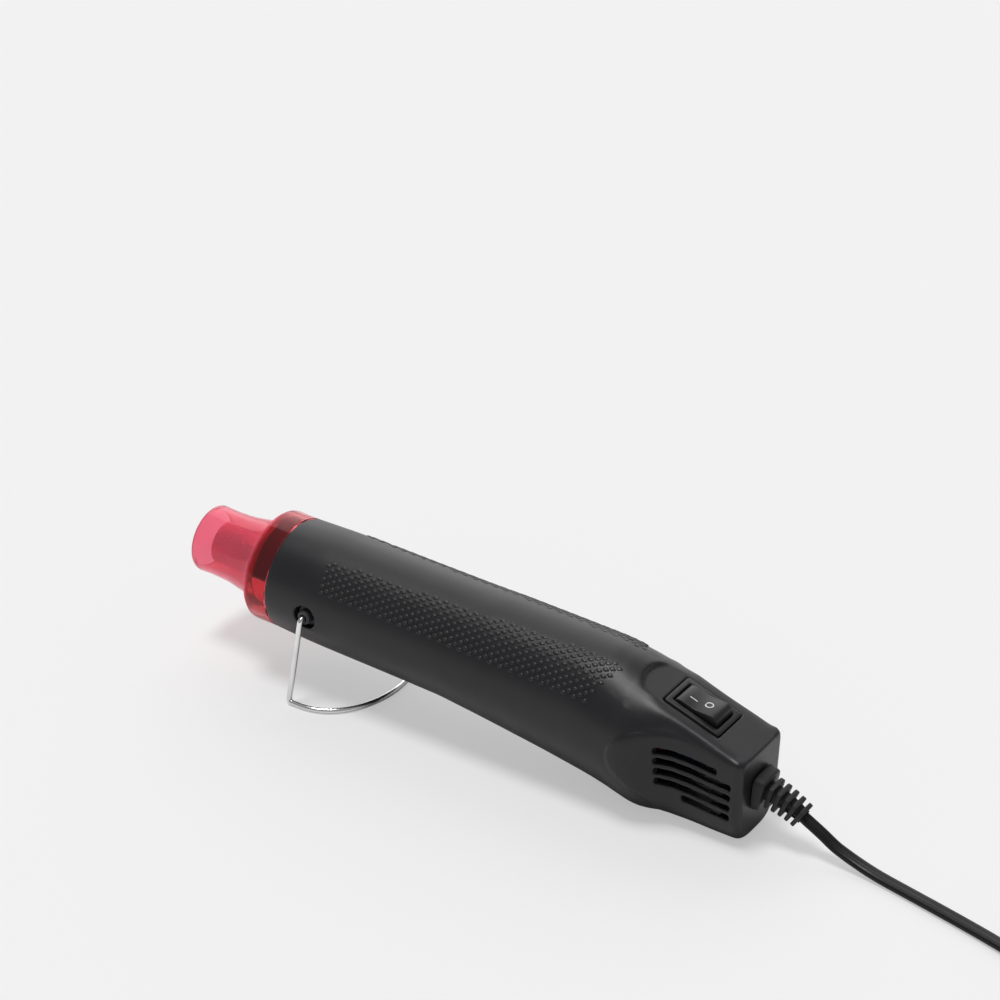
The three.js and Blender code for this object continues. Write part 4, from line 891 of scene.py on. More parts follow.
def housingInside():
    front, room = shield["front"], motor["radius"] + 3
    ribs = [
        (front + shield["ribFrom"], front + shield["ribTo"], shield["ribBore"]),
        (ductX + 13.5, ductX + 15, shroudRadius + 0.4),
        (cradleX - 1.7, cradleX - 0.3, room), (cradleX + 8.3, cradleX + 9.7, room),
    ]
    inside = merged("ribs", [block("rib", (x0, -40, -40), (x1, 40, 40)) for x0, x1, _ in ribs])
    bores = [bar("bore", (x0 - 0.4, 0, 0), (x1 + 0.4, 0, 0), radius, 64) for x0, x1, radius in ribs]
    carve(inside, merged("rib_bores", bores))
    bosses = [crossBar("boss", x, z, -25, 25, screw["boss"]) for x, z in screwSpots]
    for side in (-1, 1):
        bosses.append(crossBar("boss", stand["pivotX"], stand["pivotZ"], side * 25, side * stand["bossReach"],
                               stand["bush"] + 1.6, 40))
    inside = merged("ribs_and_bosses", [inside, *bosses])
    return carve(inside, insideBy("in_wall", barrel["wall"] / 2, 96, 2), "INTERSECT")


def ventCutters():
    spots, stretches = [], []
    for i in range(vent["count"]):
        low = vent["lastFrom"] if i == vent["count"] - 1 else vent["from"] + vent["later"] * i
        high = vent["firstTo"] if i == 0 else vent["to"]
        row = Matrix.Translation((rear - vent["fromRear"], 0, vent["first"] - vent["pitch"] * i))
        row = row @ Matrix.Rotation(vent["slope"], 4, "Y")
        spots += [row @ Vector(((low + high) / 2, side * vent["side"], 0)) for side in (-1, 1)]
        stretches += [(high - low, vent["through"], vent["height"])] * 2
    one = block("one_vent", (-0.5, -0.5, -0.5), (0.5, 0.5, 0.5))
    turns = [(0, vent["slope"], 0)] * len(spots)
    cutters = setOut.run(pointPiece("vents", spots, turn=turns, stretch=stretches), Part=one)
    discard(one)
    return cutters


def housingHoles():  # two lots, because the wide holes overlap the deep ones
    s, o = switch, stand
    deep = [block("switch_hole", (-s["bodyHalfLong"] - fit, -s["bodyHalfWide"] - fit, -9),
                  (s["bodyHalfLong"] + fit, s["bodyHalfWide"] + fit, 5), faceFrame)]
    wide = [block("switch_pocket", (-s["length"] / 2 - fit, -s["width"] / 2 - fit, -s["pocket"]),
                  (s["length"] / 2 + fit, s["width"] / 2 + fit, 5), faceFrame)]
    for side in (-1, 1):
        deep.append(crossBar("hole", o["pivotX"], o["pivotZ"], side * (o["bossReach"] - 3), side * 30, 2.9))
        wide.append(crossBar("hole", o["pivotX"], o["pivotZ"], side * o["socketFloor"], side * 30, 4.4, 64))
    for x, z in screwSpots:
        seat = screwSeat(x, z)
        deep.append(crossBar("hole", x, z, 1 - seat, seat + 1, screw["radius"] + fit))
        wide.append(crossBar("hole", x, z, seat, 30, screw["head"] + 0.4, 48))
    drop = relief["drop"]
    deep.append(bar("hole", (rear - 6, 0, drop), (rear + 3, 0, drop), relief["neck"] / 2 + 0.4, 48))
    return merged("deep_holes", deep), merged("wide_holes", wide)


ridge = {
    "depth": 4.4, "fromRear": 2.6, "fromMiddle": 8.8, "blend": 0.8, "outward": 0.2, "passes": 240,
    "quickPasses": 60,
}
softStep = {
    "reach": 1.8, "blend": 0.7, "sideFrom": 8, "outward": -0.5, "depth": 3, "passes": 24, "quickPasses": 6,
}


def lineOf(points):  # tells how far a spot is from a line of close points
    tree = KDTree(len(points))
    for i, point in enumerate(points):
        tree.insert(point, i)
    tree.balance()
    return tree


def markEdges(shell):  # the ridge beside the switch face, and the steps round the panels and the face
    toFace = faceFrame.inverted()
    turn = toFace.to_3x3()
    ridgeGroup = shell.vertex_groups.new(name="ridge")
    stepGroup = shell.vertex_groups.new(name="step")
    panelEdge = lineOf([(p.x + rear, p.y, 0) for p in panelLine()])
    archEdge = lineOf([(x, y, 0) for x, y in archLine()])
    for vertex in shell.data.vertices:
        place, spot, way = vertex.co, toFace @ vertex.co, turn @ vertex.normal
        outward = way.z + way.y * math.copysign(1, spot.y)
        room = min(abs(spot.y) - ridge["fromMiddle"], ridge["depth"] - abs(spot.z),
                   rear - ridge["fromRear"] - place.x)
        if room > 0 and outward > ridge["outward"]:
            ridgeGroup.add([vertex.index], min(room / ridge["blend"], 1), "REPLACE")
        room = 0
        if abs(place.y) > softStep["sideFrom"] and vertex.normal.y * place.y > -1:
            room = softStep["reach"] - panelEdge.find((place.x, place.z, 0))[2]
        if abs(spot.z) < softStep["depth"] and outward > softStep["outward"]:
            room = max(room, softStep["reach"] - archEdge.find((spot.x, spot.y, 0))[2])
        if room > 0:
            stepGroup.add([vertex.index], min(room / softStep["blend"], 1), "REPLACE")
    return (ridgeGroup, ridge), (stepGroup, softStep)


def refine(shell):  # rounds every edge a little, and the marked edges more
    skin = shell.modifiers.new("skin", "REMESH")
    skin.mode = "VOXEL"
    skin.voxel_size = barrel["voxel"]
    ease = shell.modifiers.new("ease", "SMOOTH")
    ease.factor, ease.iterations = 0.5, 4
    settle(shell)
    for group, how in markEdges(shell):
        soft = shell.modifiers.new(group.name, "SMOOTH")
        soft.vertex_group = group.name
        soft.factor, soft.iterations = 0.5, how["passes"]
    thin = shell.modifiers.new("thin", "DECIMATE")
    thin.ratio = barrel["keepFaces"]
    return settle(shell)


def spigotSleeve():
    inner, outer, front = spigot["inner"], spigot["outer"], -spigot["length"]
    sleeve = turned("spigot", [(front, inner), (1.5, inner), (1.5, outer), (front, outer)])
    return carve(sleeve, block("window", (-30, -40, -40), (0, 40, 4.6)))


def addClampPosts(half):  # two posts for the clamp's screws, and a rest for the cord between them
    x, drop = clamp["x"], relief["drop"]
    wallY = 1 - widthAt(x)
    posts = [crossBar("post", x, z, wallY, 2.4, clamp["post"]) for z in clamp["posts"]]
    carve(half, merged("posts", posts), "UNION")
    carve(half, merged("post_bores", [crossBar("bore", x, z, -6, 4, clamp["bore"]) for z in clamp["posts"]]))
    rest = block("cord_rest", (x - 2, wallY, drop - 3), (x + 2, -cord["width"] / 2 - fit, drop + 3))
    carve(half, rest, "UNION")


def makeHousing():
    distances = steps(0, barrel["frontRound"], 0.2) + steps(2.4, rear - 62, 1.6)
    shell = bodySkin("shell", distances + steps(rear - 61, rear - 3.5, 0.8))
    carve(shell, sidePanels(), "UNION")
    carve(shell, faceCut())
    carve(shell, underFloor(0))
    carve(shell, insideBy("hollow", barrel["wall"], 120, 1))
    carve(shell, housingInside(), "UNION")
    carve(shell, bar("mouth", (-20, 0, 0), (4, 0, 0), spigot["inner"], 96))
    carve(shell, spigotSleeve(), "UNION")
    carve(shell, ventCutters())
    for holes in housingHoles():
        carve(shell, holes)
    carve(shell, heaterLeadRoom())
    refine(shell)
    halves = []
    for name, side in (("housing_shell_left", -1), ("housing_shell_right", 1)):
        half = newPiece(name, shell.data.copy())
        low, high = sorted((side * barrel["seam"] / 2, side * 100))
        carve(half, block("keep", (-100, low, -100), (rear + 100, high, 100)), "INTERSECT")
        if side < 0:
            addClampPosts(half)
        halves.append(shadeSmooth(half, 50))
        print(name, sum(len(face.vertices) - 2 for face in half.data.polygons), "triangles")
    discard(shell)
    return halves


# rows of small raised dots on both sides of the grip, set on the barrel where a ray meets it

grip = {
    "from": 23.4, "to": 130, "pitch": 4.1, "rowPitch": 1.2, "low": 29, "high": 72, "rise": 0.46, "long": 2.6,
    "wide": 1.7, "slant": 0.4, "startSlant": 0.17, "frontTop": 61, "topRise": 0.12, "topShare": 0.4,
    "fadeFrom": 0.74, "fadeTo": 0.94, "radius": 20.8, "rayFrom": 30,
}


def makeDotSheet():
    sheet = Sheet("dotsOnSurface", Surface="Object", Dot="Object")
    target = sheet.node("GeometryNodeObjectInfo", {"Object": sheet.start["Surface"]}).outputs["Geometry"]
    place = sheet.node("GeometryNodeInputPosition").outputs[0]
    inward = sheet.node("ShaderNodeVectorMath", {0: place, 1: (0, -1, -1)}, operation="MULTIPLY").outputs[0]
    way = sheet.node("ShaderNodeVectorMath", {0: inward}, operation="NORMALIZE").outputs[0]
    ray = sheet.node("GeometryNodeRaycast", {
        "Target Geometry": target, "Source Position": place, "Ray Direction": way, "Ray Length": 40.0,
    })
    kept = sheet.node("GeometryNodeStoreNamedAttribute", {
        "Geometry": sheet.start["Geometry"], "Name": "out", "Value": ray.outputs["Hit Normal"],
    }, data_type="FLOAT_VECTOR").outputs[0]
    onSkin = sheet.node("GeometryNodeSetPosition", {
        "Geometry": kept, "Position": ray.outputs["Hit Position"],
    }).outputs[0]
    dot = sheet.node("GeometryNodeObjectInfo", {"Object": sheet.start["Dot"]}).outputs["Geometry"]
    out = sheet.attribute("out")
    turn = sheet.node("FunctionNodeAlignRotationToVector", {"Vector": out}, axis="Z").outputs[0]
    upward = sheet.node("ShaderNodeSeparateXYZ", {0: out}).outputs["Z"]
    height = sheet.node("ShaderNodeMapRange", {
        "Value": upward, "From Min": grip["fadeFrom"], "From Max": grip["fadeTo"], "To Min": 1,
        "To Max": grip["topShare"],
    }).outputs[0]
    size = sheet.node("ShaderNodeCombineXYZ", {0: 1, 1: 1, 2: height}).outputs[0]
    copies = sheet.node("GeometryNodeInstanceOnPoints", {
        "Points": onSkin, "Instance": dot, "Rotation": turn, "Scale": size,
    }).outputs[0]
    sheet.end(copies)
    return sheet


def oneDot():  # a low rounded diamond of a few dozen faces, its foot a little below the surface
    rings = []
    for share, z in ((1.04, -0.15), (0.98, 0.1), (0.76, 0.64), (0.4, 0.94)):
        ring = []
        for i, (c, s) in enumerate(circle(8)):
            reach = share / 2 * (1 if i % 2 == 0 else 0.86)
            ring.append((reach * grip["long"] * c, reach * grip["wide"] * s, z * grip["rise"]))
        rings.append(ring)
    piece = loft("one_dot", rings)
    for face in piece.data.polygons:
        face.use_smooth = True
    return piece


def gripSpots(side):  # points off the barrel, in slanting rows
    rows = round(math.radians(grip["high"] - grip["low"]) * grip["radius"] / grip["rowPitch"])
    spots = []
    for row in range(rows + 1):
        angle = math.radians(grip["low"] + (grip["high"] - grip["low"]) * row / rows)
        up = row * grip["rowPitch"]
        x = grip["from"] - grip["startSlant"] * up + (row % 2) * grip["pitch"] / 2
        while x <= grip["to"] + grip["slant"] * up:
            if math.degrees(angle) <= grip["frontTop"] + grip["topRise"] * (x - grip["from"]):
                spots.append((x, side * grip["rayFrom"] * math.cos(angle), grip["rayFrom"] * math.sin(angle)))
            x += grip["pitch"]
    return spots


def makeGripDots(halves):
    dot = oneDot()
    sheet = makeDotSheet()
    made = []
    for half, name, side in zip(halves, ("grip_dots_left", "grip_dots_right"), (-1, 1)):
        spots = gripSpots(side)
        made.append(sheet.run(pointPiece(name, spots), Surface=half, Dot=dot))
        print(name, "made,", len(spots), "dots")
    discard(dot)
    return made


housingHalves = makeHousing()
gripDots = makeGripDots(housingHalves)
for piece, node in zip(housingHalves, ("housing_left", "housing_right")):
    finishPiece(piece, "housing", "shell", looks["housingPlastic"], node)
for piece in gripDots:
    finishPiece(piece, "housing", "shell", looks["gripPlastic"])
print("housing made")


# guard, shield, outlet tube and heater

def bell(inset):  # the guard's wall from its shoulder to the rim
    shoulder, throat, rim = -guard["collar"] - 1.2, guard["throat"], guard["rim"]
    spots = [
        (-guard["length"] + 0.5, rim + 0.15), (shoulder - 22, rim), (shoulder - 15, throat - 2),
        (shoulder - 9, throat - 1.1), (shoulder - 4, throat), (shoulder - 1.2, throat + 1),
        (shoulder, throat + 1.8),
    ]
    value = along([x for x, _ in spots], [r - inset for _, r in spots])
    return [(x, value(x)) for x in steps(spots[0][0], shoulder, 0.9)]


def makeGuard():
    collar, outer, wall = -guard["collar"], guard["collarOuter"], guard["wall"]
    rim = -guard["length"]
    inner = spigot["outer"] + fit
    shoulder = collar - 1.2
    outside = bell(0)
    inside = [(x, r) for x, r in bell(wall) if x < shoulder - 1]
    profile = [(0, inner), (0, outer - 0.25), (-0.25, outer), (collar + 1.2, outer + 0.1),
               (collar + 0.6, outer), (collar + 0.15, outer - 0.35), (collar, outer - 0.8)]
    profile += outside[::-1]
    profile += [(rim + 0.1, guard["rim"] - 0.05), (rim, guard["rim"] - 0.4), (rim, guard["rim"] - wall + 0.3),
                (rim + 0.3, guard["rim"] - wall)]
    profile += inside[1:] + [(shoulder + wall, guard["throat"]), (shoulder + wall, inner)]
    piece = shadeSmooth(turned("clear_guard", profile, 128), 30)
    return finishPiece(piece, "housing", "guard", looks["clearRed"], "nozzle_guard")


def makeOutlet():
    r, bore, front = outlet["radius"], outlet["radius"] - outlet["sheet"], outlet["front"]
    back = outlet["rear"]
    tube = turned("steel_outlet", [
        (front + 0.1, bore), (front, bore + 0.12), (front, r - 0.12), (front + 0.12, r), (back - 1.1, r),
        (back - 0.8, r + 0.3), (back - 0.8, outlet["flange"]), (back, outlet["flange"]), (back, bore),
    ])
    finishPiece(shadeSmooth(tube, 30), "housing", "steel", looks["tubeSteel"], "outlet_tube")
    start, edge, lip = shield["front"], shield["radius"], shield["lip"]
    plate = turned("shield_plate", [
        (start, r + 0.4), (start, edge - 0.3), (start + 0.1, edge - 0.1), (start + 0.3, edge),
        (start + 0.8, edge), (start + 1, edge - 0.2), (start + 1, lip), (start + 0.8, lip - 0.4),
        (start + 0.8, r + 0.4),
    ])
    finishPiece(shadeSmooth(plate, 30), "housing", "steel", looks["shieldSteel"], "heat_shield")
    print("guard, outlet and shield made")


heater = {"turns": 11, "radius": 5.4, "wire": 0.7, "from": outlet["front"] + 14.5, "to": outlet["rear"] - 6.5}


def makeHeaterSpiral():
    sheet = Sheet("wireSpiral", Turns="Size", Radius="Size", Length="Size", Wire="Size")
    line = sheet.node("GeometryNodeCurveSpiral", {
        "Resolution": 40, "Rotations": sheet.start["Turns"], "Start Radius": sheet.start["Radius"],
        "End Radius": sheet.start["Radius"], "Height": sheet.start["Length"], "Reverse": False,
    }).outputs[0]
    ring = sheet.node("GeometryNodeCurvePrimitiveCircle", {
        "Resolution": 10, "Radius": sheet.start["Wire"],
    }).outputs[0]
    wire = sheet.node("GeometryNodeCurveToMesh", {
        "Curve": line, "Profile Curve": ring, "Fill Caps": True,
    }).outputs[0]
    sheet.end(sheet.node("GeometryNodeSetShadeSmooth", {"Geometry": wire}).outputs[0])
    piece = sheet.run(pointPiece("heater_spiral", []), Turns=float(heater["turns"]), Radius=heater["radius"],
                      Length=heater["to"] - heater["from"], Wire=heater["wire"] / 2)
    # the spiral climbs along z from its first point, so it is turned to run along the barrel
    piece.data.transform(Matrix(((0, 0, 1, heater["from"]), (0, 1, 0, 0), (1, 0, 0, 0), (0, 0, 0, 1))))
    work = bmesh.new()
    work.from_mesh(piece.data)
    bmesh.ops.recalc_face_normals(work, faces=work.faces)
    work.to_mesh(piece.data)
    work.free()
    return finishPiece(piece, "housing", "resistance_wire", looks["heatingWire"], "heater_coil")


makeGuard()
makeOutlet()
makeHeaterSpiral()


# switch

key = {  # the rocker's own outline, from its pin
    "rim": 2.6, "endTurns": (-0.34, -0.2, -0.06, 0.08, 0.21),
    "shoulder": ((0.27, 2.15), (0.6, 2.6), (1.1, 3), (1.8, 3.32), (2.6, 3.47)),
    "dish": ((4.4, 3.28), (2.9, 3.02), (1.4, 2.82), (0, 2.74)), "edge": 0.3, "pin": 0.9,
}
marks = {
    "on": {"at": (-3.13, -0.9, 3.06), "tilt": math.radians(9), "long": 2.9, "wide": 0.4},
    "off": {"at": (2.14, 0.2, 2.92), "tilt": math.radians(-7.6), "radius": 1.5, "hole": 0.7},
    "low": -0.06, "high": 0.04,
}
keyHalf = switch["width"] / 2 - key["rim"]


def cornered(halfLong, halfWide, radius):
    perCorner = 6
    outline = []
    for k, (sx, sy) in enumerate(((1, 1), (-1, 1), (-1, -1), (1, -1))):
        for i in range(perCorner + 1):
            a = math.pi / 2 * (k + i / perCorner)
            outline.append((sx * (halfLong - radius) + radius * math.cos(a),
                            sy * (halfWide - radius) + radius * math.sin(a)))
    return outline


def faceLoft(name, layers, corner):  # rounded oblong layers [half length, half width, height] on the face
    rings = []
    for halfLong, halfWide, n in layers:
        rings.append([faceFrame @ Vector((s, y, n)) for s, y in cornered(halfLong, halfWide, corner)])
    return loft(name, rings)


def makeSwitchBody():
    s = switch
    long, wide, top, low = s["length"] / 2, s["width"] / 2, s["bezel"], fit - s["pocket"]
    body = faceLoft("switch_frame", [
        (long, wide, low), (long, wide, top - 0.5), (long - 0.1, wide - 0.1, top - 0.25),
        (long - 0.28, wide - 0.28, top - 0.06), (long - 0.5, wide - 0.5, top),
    ], s["corner"])
    lower = block("switch_lower", (-s["bodyHalfLong"], -s["bodyHalfWide"], -s["depth"]),
                  (s["bodyHalfLong"], s["bodyHalfWide"], low + 0.1), faceFrame)
    carve(body, lower, "UNION")
    carve(body, faceLoft("opening", [
        (s["reach"] + 0.3, keyHalf + 0.4, -7), (s["reach"] + 0.3, keyHalf + 0.4, top - 0.35),
        (s["reach"] + 0.75, keyHalf + 0.85, top + 0.1), (s["reach"] + 0.75, keyHalf + 0.85, 6),
    ], 0.5))
    half, thick = s["tabHalfWidth"] + fit, s["tabThickness"] / 2 + fit
    tabs = [block("tab_slot", (at - half, -thick, -s["depth"] - 1), (at + half, thick, -6), faceFrame)
            for at in (-s["tabOffset"], s["tabOffset"])]
    carve(body, merged("tab_slots", tabs))
    ends = [faceFrame @ Vector((0, side * (s["bodyHalfWide"] + 1), -s["pivotDepth"])) for side in (-1, 1)]
    carve(body, bar("axle_hole", *ends, 1.2, 24))
    finishPiece(shadeSmooth(body, 30), "housing", "switch", looks["switchPlastic"], "switch_body")


def makeKey():
    s = switch
    place = faceFrame @ Matrix.Translation((0, 0, -s["pivotDepth"]))
    place = place @ Matrix.Rotation(-s["throw"] / 2, 4, "Y")
    outline = [(s["reach"] * math.cos(a), s["reach"] * math.sin(a)) for a in key["endTurns"]]
    outline += [(s["reach"] - back, high) for back, high in key["shoulder"]]
    outline += key["dish"]
    outline += [(-u, v) for u, v in outline[-2::-1]]
    piece = soften(prism("switch_key", outline, -keyHalf, keyHalf, place @ edgeOn), key["edge"], 3, 60)
    ends = [place @ Vector((0, side * (s["bodyHalfWide"] - 0.2), 0)) for side in (-1, 1)]
    carve(piece, bar("key_pin", *ends, key["pin"], 24), "UNION")
    finishPiece(shadeSmooth(piece, 35), "rocker", "switch", looks["switchPlastic"], "switch_rocker")
    makeMarks(place)


def makeMarks(place):  # the I and O of an on and off switch, as thin paint on the key
    on, off, low, high = marks["on"], marks["off"], marks["low"], marks["high"]
    onPlace, offPlace = [place @ Matrix.Translation(mark["at"]) @ Matrix.Rotation(mark["tilt"], 4, "Y")
                         for mark in (on, off)]
    long, wide = on["long"] / 2, on["wide"] / 2
    stroke = block("on_mark", (-long, -wide, low), (long, wide, high), onPlace)
    outer, inner = off["radius"], off["radius"] * off["hole"]
    walls = ((outer, low), (outer, high), (inner, high), (inner, low))
    rings = [[offPlace @ Vector((r * c, r * s, z)) for r, z in walls] for c, s in circle(40)]
    ring = loft("off_mark", rings, closed=True)
    finishPiece(merged("switch_marks", [stroke, ring]), "rocker", "switch", looks["markPaint"])


makeSwitchBody()
makeKey()
print("switch made")


# screws: one crossed head and one shank, set out by nodes

def screwHead(radius):
    profile = [(0, radius), (0.9, radius), (1.35, radius - 0.12), (1.7, radius - 0.4), (1.9, radius - 0.85)]
    head = loft("screw_head", [[(r * c, y, r * s) for c, s in circle(32)] for y, r in profile])
    arm, half, floor = screw["cross"] * radius, screw["crossHalf"], screw["crossFrom"]
    cross = block("cross", (-arm, floor, -half), (arm, 3, half))
    carve(cross, block("cross_arm", (-half, floor, -arm), (half, 3, arm)), "UNION")
    return shadeSmooth(carve(head, cross), 35)


def threaded(radius):  # a shank one unit long, ridged like a thread, its end pointed
    rings = []
    for i in range(41):
        y = i / 40
        r = radius * (0.35 + 0.65 * min(y / 0.12, 1)) * (1 if i % 2 else 0.8)
        rings.append([(r * c, y, r * s) for c, s in circle(16)])
    return loft("shank", rings)


def setOutOn(name, part, places, turns, stretches):
    piece = setOut.run(pointPiece(name, places, turn=turns, stretch=stretches), Part=part)
    discard(part)
    return piece


def makeScrews(name, spots, seats, tips, headRadius, radius, nodes):
    count = len(spots)
    headPlaces = [(x, seat + fit, z) for (x, z), seat in zip(spots, seats)]
    heads = setOutOn(name, screwHead(headRadius), headPlaces, [(0, 0.6 * i, 0) for i in range(count)],
                     [(1, 1, 1)] * count)
    tipPlaces = [(x, tip, z) for (x, z), tip in zip(spots, tips)]
    shanks = setOutOn("shanks", threaded(radius), tipPlaces, [(0, 0, 0)] * count,
                      [(1, seat + fit + 0.1 - tip, 1) for seat, tip in zip(seats, tips)])
    finishPiece(merged(name, [heads, shanks]), "housing", "steel", looks["screwSteel"], *nodes)


screwSeats = [screwSeat(x, z) for x, z in screwSpots]
makeScrews("housing_screws", screwSpots, screwSeats, [screw["tip"] - seat for seat in screwSeats],
           screw["head"], screw["radius"], ["housing_screw_" + str(i + 1) for i in range(4)])
makeScrews("clamp_screws", [(clamp["x"], z) for z in clamp["posts"]], [clamp["seat"]] * 2, [clamp["tip"]] * 2,
           clamp["head"], clamp["radius"], ["clamp_screw_1", "clamp_screw_2"])


# strain relief: a flange inside the wall, a root block outside it, and square ribs that shrink along the cord

def reliefAt(distance, frames, total):  # where along the relief's path, and straight on past its end
    at = min(max(distance / total, 0), 1) * (len(frames) - 1)
    i = min(int(at), len(frames) - 2)
    p = frames[i][0].lerp(frames[i + 1][0], at - i)
    if distance > total:
        p = p + frames[-1][1] * (distance - total)
    return (p, *frames[i][1:])


def squareRing(place, size, power):
    p, _, side, up = place
    half = size / 2
    return [p + side * half * powered(c, 2 / power) + up * half * powered(s, 2 / power)
            for c, s in circle(40, 0.5)]


def reliefRings():  # distance along, size, squareness
    inner, outer = rear - barrel["wall"] - relief["start"], rear - relief["start"]
    flange, neck, rib, root = relief["flange"], relief["neck"], relief["rib"], relief["root"]
    rootEnd = outer + relief["rootLength"]
    rings = [
        (0, flange - 0.3, 2), (0.15, flange, 2), (inner - 0.5, flange, 2), (inner - 0.3, flange - 0.3, 2),
        (inner - 0.3, neck, 2), (outer + 0.3, neck, 2), (outer + 0.3, root - 0.4, 4), (outer + 0.5, root, 5),
        (rootEnd - 0.5, root - 0.7, 5), (rootEnd - 0.15, root - 1, 5), (rootEnd, root - 1.6, 5),
        (rootEnd + 0.05, rib - 3, 3),
    ]
    wide = relief["pitch"] / 2 + 0.1
    edge = [(-0.05, relief["core"], 3.2), (0, 0.35, 4.6), (0.15, 0.05, 5), (0.3, 0, 5)]
    for i in range(relief["ribs"]):
        low = rootEnd + 1.2 + i * relief["pitch"]
        size = rib - relief["shrink"] * i
        rings += [(low + inward, size - less, power) for inward, less, power in edge]
        rings += [(low + wide - inward, size - less, power) for inward, less, power in edge[::-1]]
    return rings + [(rings[-1][0] + 0.4, rib - relief["shrink"] * relief["ribs"] - 2.6, 3)]


def makeRelief():
    frames = pathFrames(reliefLine, True)
    total = sum((q - p).length for p, q in zip(reliefLine, reliefLine[1:]))
    rings = [squareRing(reliefAt(at, frames, total), *form) for at, *form in reliefRings()]
    body = loft("cord_relief", rings)
    tunnel = evenly(reliefLine, 40)
    onward = tunnel[-1] - tunnel[-2]
    tunnel = [2 * tunnel[0] - tunnel[1], *tunnel, tunnel[-1] + onward, tunnel[-1] + 2 * onward]
    room = [(1.06 * u + math.copysign(0.15, u), 1.06 * v + math.copysign(0.15, v)) for u, v in cordOutline()]
    carve(body, swept("cord_room", tunnel, room, level=True))
    return finishPiece(shadeSmooth(body, 40), "housing", "rubber", looks["blackRubber"], "strain_relief")


reliefPiece = makeRelief()
print("screws and strain relief made")


# stand

def bentLine(points, radius, cornerSteps):  # straight legs with rounded corners
    points = [Vector(p) for p in points]
    out = [points[0]]
    for a, b, c in zip(points, points[1:], points[2:]):
        before, after = (a - b).normalized(), (c - b).normalized()
        half = before.angle(after) / 2
        centre = b + (before + after).normalized() * radius / math.sin(half)
        first = b + before * radius / math.tan(half) - centre
        second = b + after * radius / math.tan(half) - centre
        turn = first.angle(second)
        for j in range(cornerSteps + 1):
            t = j / cornerSteps
            blended = first * math.sin((1 - t) * turn) + second * math.sin(t * turn)
            out.append(centre + blended / math.sin(turn))
    out.append(points[-1])
    return out


def makeWire():
    o = stand
    radius = o["wire"] / 2
    pivot = layDown @ Vector((o["pivotX"], 0, o["pivotZ"]))
    bendY = o["neckEnd"] + o["bend"] + 0.15
    footX, footZ = pivot.x - o["rake"], radius + o["lift"]
    corners = [
        (pivot.x, -o["bossReach"] + 0.8, pivot.z), (pivot.x, -bendY, pivot.z),
        (footX, -o["halfWidth"], footZ), (footX + 5, -o["halfWidth"] - 0.2, footZ),
    ]
    leg = bentLine(corners, o["bend"], 12)[:-1]
    foot = []
    for i in range(65):
        a = math.pi * (i / 64 - 0.5)
        x = footX + o["straight"] + (o["reach"] - o["straight"]) * max(math.cos(a), 0) ** 0.92
        foot.append(Vector((x, o["halfWidth"] * math.sin(a), footZ)))
    far = [Vector((p.x, -p.y, p.z)) for p in reversed(leg)]
    wire = swept("bent_wire", leg + foot + far, roundOutline(radius, 20))
    finishPiece(shadeSmooth(wire, 50), "stand", "wire", looks["standChrome"], "stand_wire", onTool=False)


def makeBush(name, side, node):
    o = stand
    start, floor, end = o["bossReach"] - 0.6, o["socketFloor"], o["neckEnd"]
    outer, neck, bore = o["bush"], o["neck"], o["wire"] / 2 + fit
    profile = [
        (start, 2.6), (floor + 0.3, 2.6), (floor + 0.3, outer - 0.2), (floor + 0.45, outer),
        (floor + 0.9, outer), (floor + 1.1, outer - 0.25), (floor + 1.1, neck + 0.25), (floor + 1.35, neck),
        (end - 0.2, neck), (end, neck - 0.25), (end, bore + 0.1), (end - 0.1, bore), (start, bore),
    ]
    rings = []
    for y, r in profile:
        rings.append([(o["pivotX"] + r * c, side * y, o["pivotZ"] + r * s) for c, s in circle(64)])
    bush = shadeSmooth(loft(name, rings, closed=True), 30)
    finishPiece(bush, "housing", "moulding", looks["heatproofMoulding"], node)


makeWire()
makeBush("pivot_bush_left", -1, "stand_bush_left")
makeBush("pivot_bush_right", 1, "stand_bush_right")
print("stand made")

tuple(cordLeaves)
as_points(cordPath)


# the pieces inside keep their own meshes and get their finishes

insideFinishes = {
    "micaSheet": ["mica_sleeve", "mica_board_flat", "mica_board_upright"],
    "whiteCeramic": ["terminal_disc"],
    "shieldSteel": ["thermal_fuse"],
    "heatproofMoulding": ["fan_duct", "fan_impeller", "motor_end_cap", "cord_clamp"],
    "motorSteel": ["motor_can", "motor_shaft", "armature_core"],
    "contactBrass": ["motor_terminal_1", "motor_terminal_2", "switch_terminal_1", "switch_terminal_2"],
    "bearingBronze": ["front_bearing", "rear_bearing"],
    "windingCopper": ["armature_winding_1", "armature_winding_2", "armature_winding_3", "commutator"],
    "ferrite": ["motor_magnet_1", "motor_magnet_2"],
    "blackRubber": ["motor_cradle"],
    "boardLaminate": ["rectifier_board"],
    "diodeEpoxy": ["diode_1", "diode_2", "diode_3", "diode_4"],
    "redSleeve": ["lead_live", "lead_switched"],
    "blueSleeve": ["lead_neutral"],
    "glassSleeve": ["heater_lead_1", "heater_lead_2"],
}
for finishName, nodes in insideFinishes.items():
    for node in nodes:
        mesh = frame["nodes"][node].data
        mesh.materials.clear()
        mesh.materials.append(looks[finishName])
print("inside finishes set")


# floor, world and light

studio = {"halfWidth": 6, "floor": 0.855, "world": 0.32, "backdrop": 0.855, "shadow": 0.5}
lamps = (  # name, strength, azimuth, height, spread
    ("top_light", 1.82, 208, 81, 18),
    ("back_light", 1.1, 121, 32, 60),
)


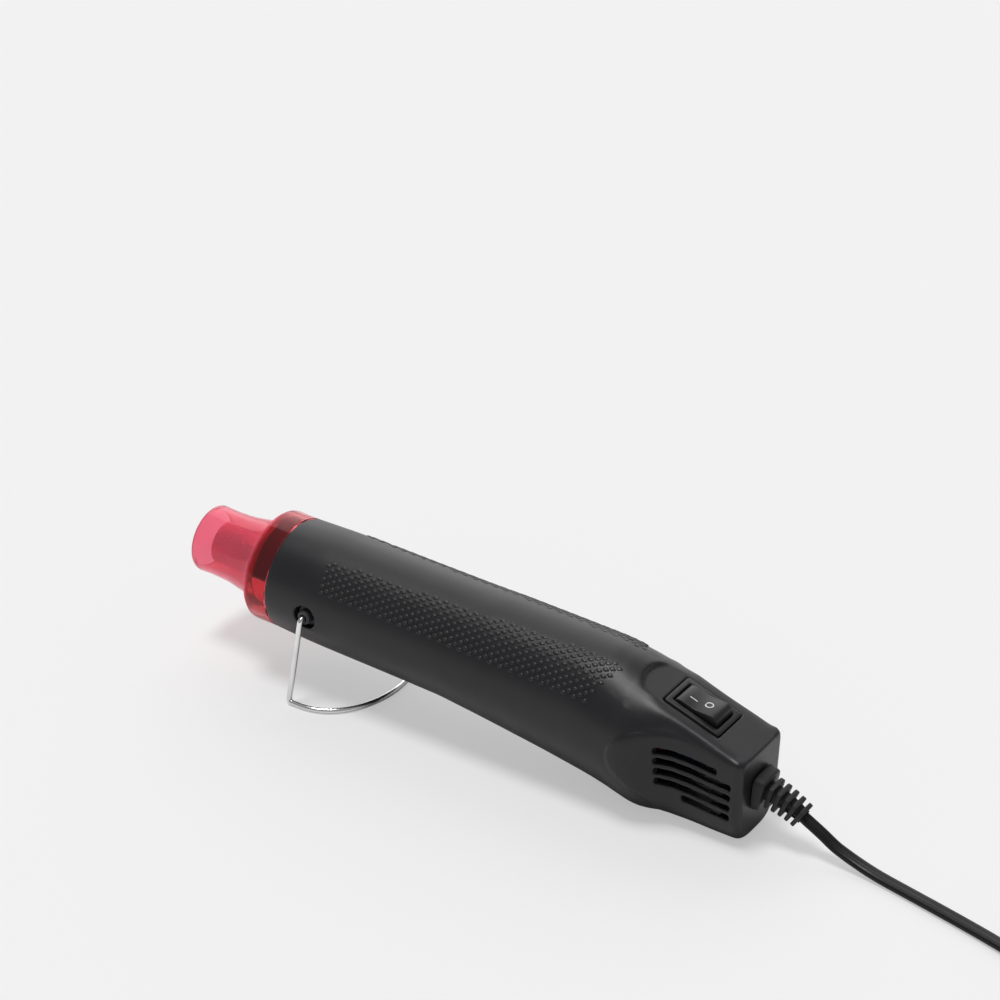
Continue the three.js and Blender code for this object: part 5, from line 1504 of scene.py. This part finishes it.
def makeStudio():
    mesh = bpy.data.meshes.new("studio_floor")
    half = studio["halfWidth"]
    corners = [(x * half, y * half, 0) for x, y in ((-1, -1), (1, -1), (1, 1), (-1, 1))]
    mesh.from_pydata(corners, [], [(0, 1, 2, 3)])
    floor = newPiece("studio_floor", mesh)
    paper = Finish("paperFloor", (studio["floor"],) * 3, 0.9)
    paper.shader.inputs["Specular IOR Level"].default_value = 0
    glow = paper.node("ShaderNodeEmission", {"Color": (studio["floor"],) * 3 + (1,), "Strength": 1.0})
    seen = paper.node("ShaderNodeLightPath").outputs["Is Camera Ray"]
    share = paper.node("ShaderNodeMath", {0: seen, 1: 1 - studio["shadow"]}, operation="MULTIPLY").outputs[0]
    both = paper.node("ShaderNodeMixShader", {0: share, 1: paper.shader.outputs[0], 2: glow.outputs[0]})
    paper.tree.links.new(both.outputs[0], paper.tree.nodes["Material Output"].inputs[0])
    mesh.materials.append(paper.material)

    scene.world = bpy.data.worlds.new("studio")
    scene.world.use_nodes = True
    nodes, links = scene.world.node_tree.nodes, scene.world.node_tree.links
    sky, plain = nodes["Background"], nodes.new("ShaderNodeBackground")
    sky.inputs["Color"].default_value = (1, 1, 1, 1)
    sky.inputs["Strength"].default_value = studio["world"]
    plain.inputs["Color"].default_value = (studio["backdrop"],) * 3 + (1,)
    mix = nodes.new("ShaderNodeMixShader")
    links.new(nodes.new("ShaderNodeLightPath").outputs["Is Camera Ray"], mix.inputs[0])
    links.new(sky.outputs[0], mix.inputs[1])
    links.new(plain.outputs[0], mix.inputs[2])
    links.new(mix.outputs[0], nodes["World Output"].inputs[0])

    for name, strength, azimuth, height, spread in lamps:
        data = bpy.data.lights.new(name, "SUN")
        data.energy, data.angle = strength, math.radians(spread)
        lamp = bpy.data.objects.new(name, data)
        scene.collection.objects.link(lamp)
        a, e = math.radians(azimuth), math.radians(height)
        toLamp = Vector((math.cos(a) * math.cos(e), math.sin(a) * math.cos(e), math.sin(e)))
        lamp.rotation_mode = "QUATERNION"
        lamp.rotation_quaternion = toLamp.to_track_quat("Z", "Y")
    print("floor and light made")


makeStudio()
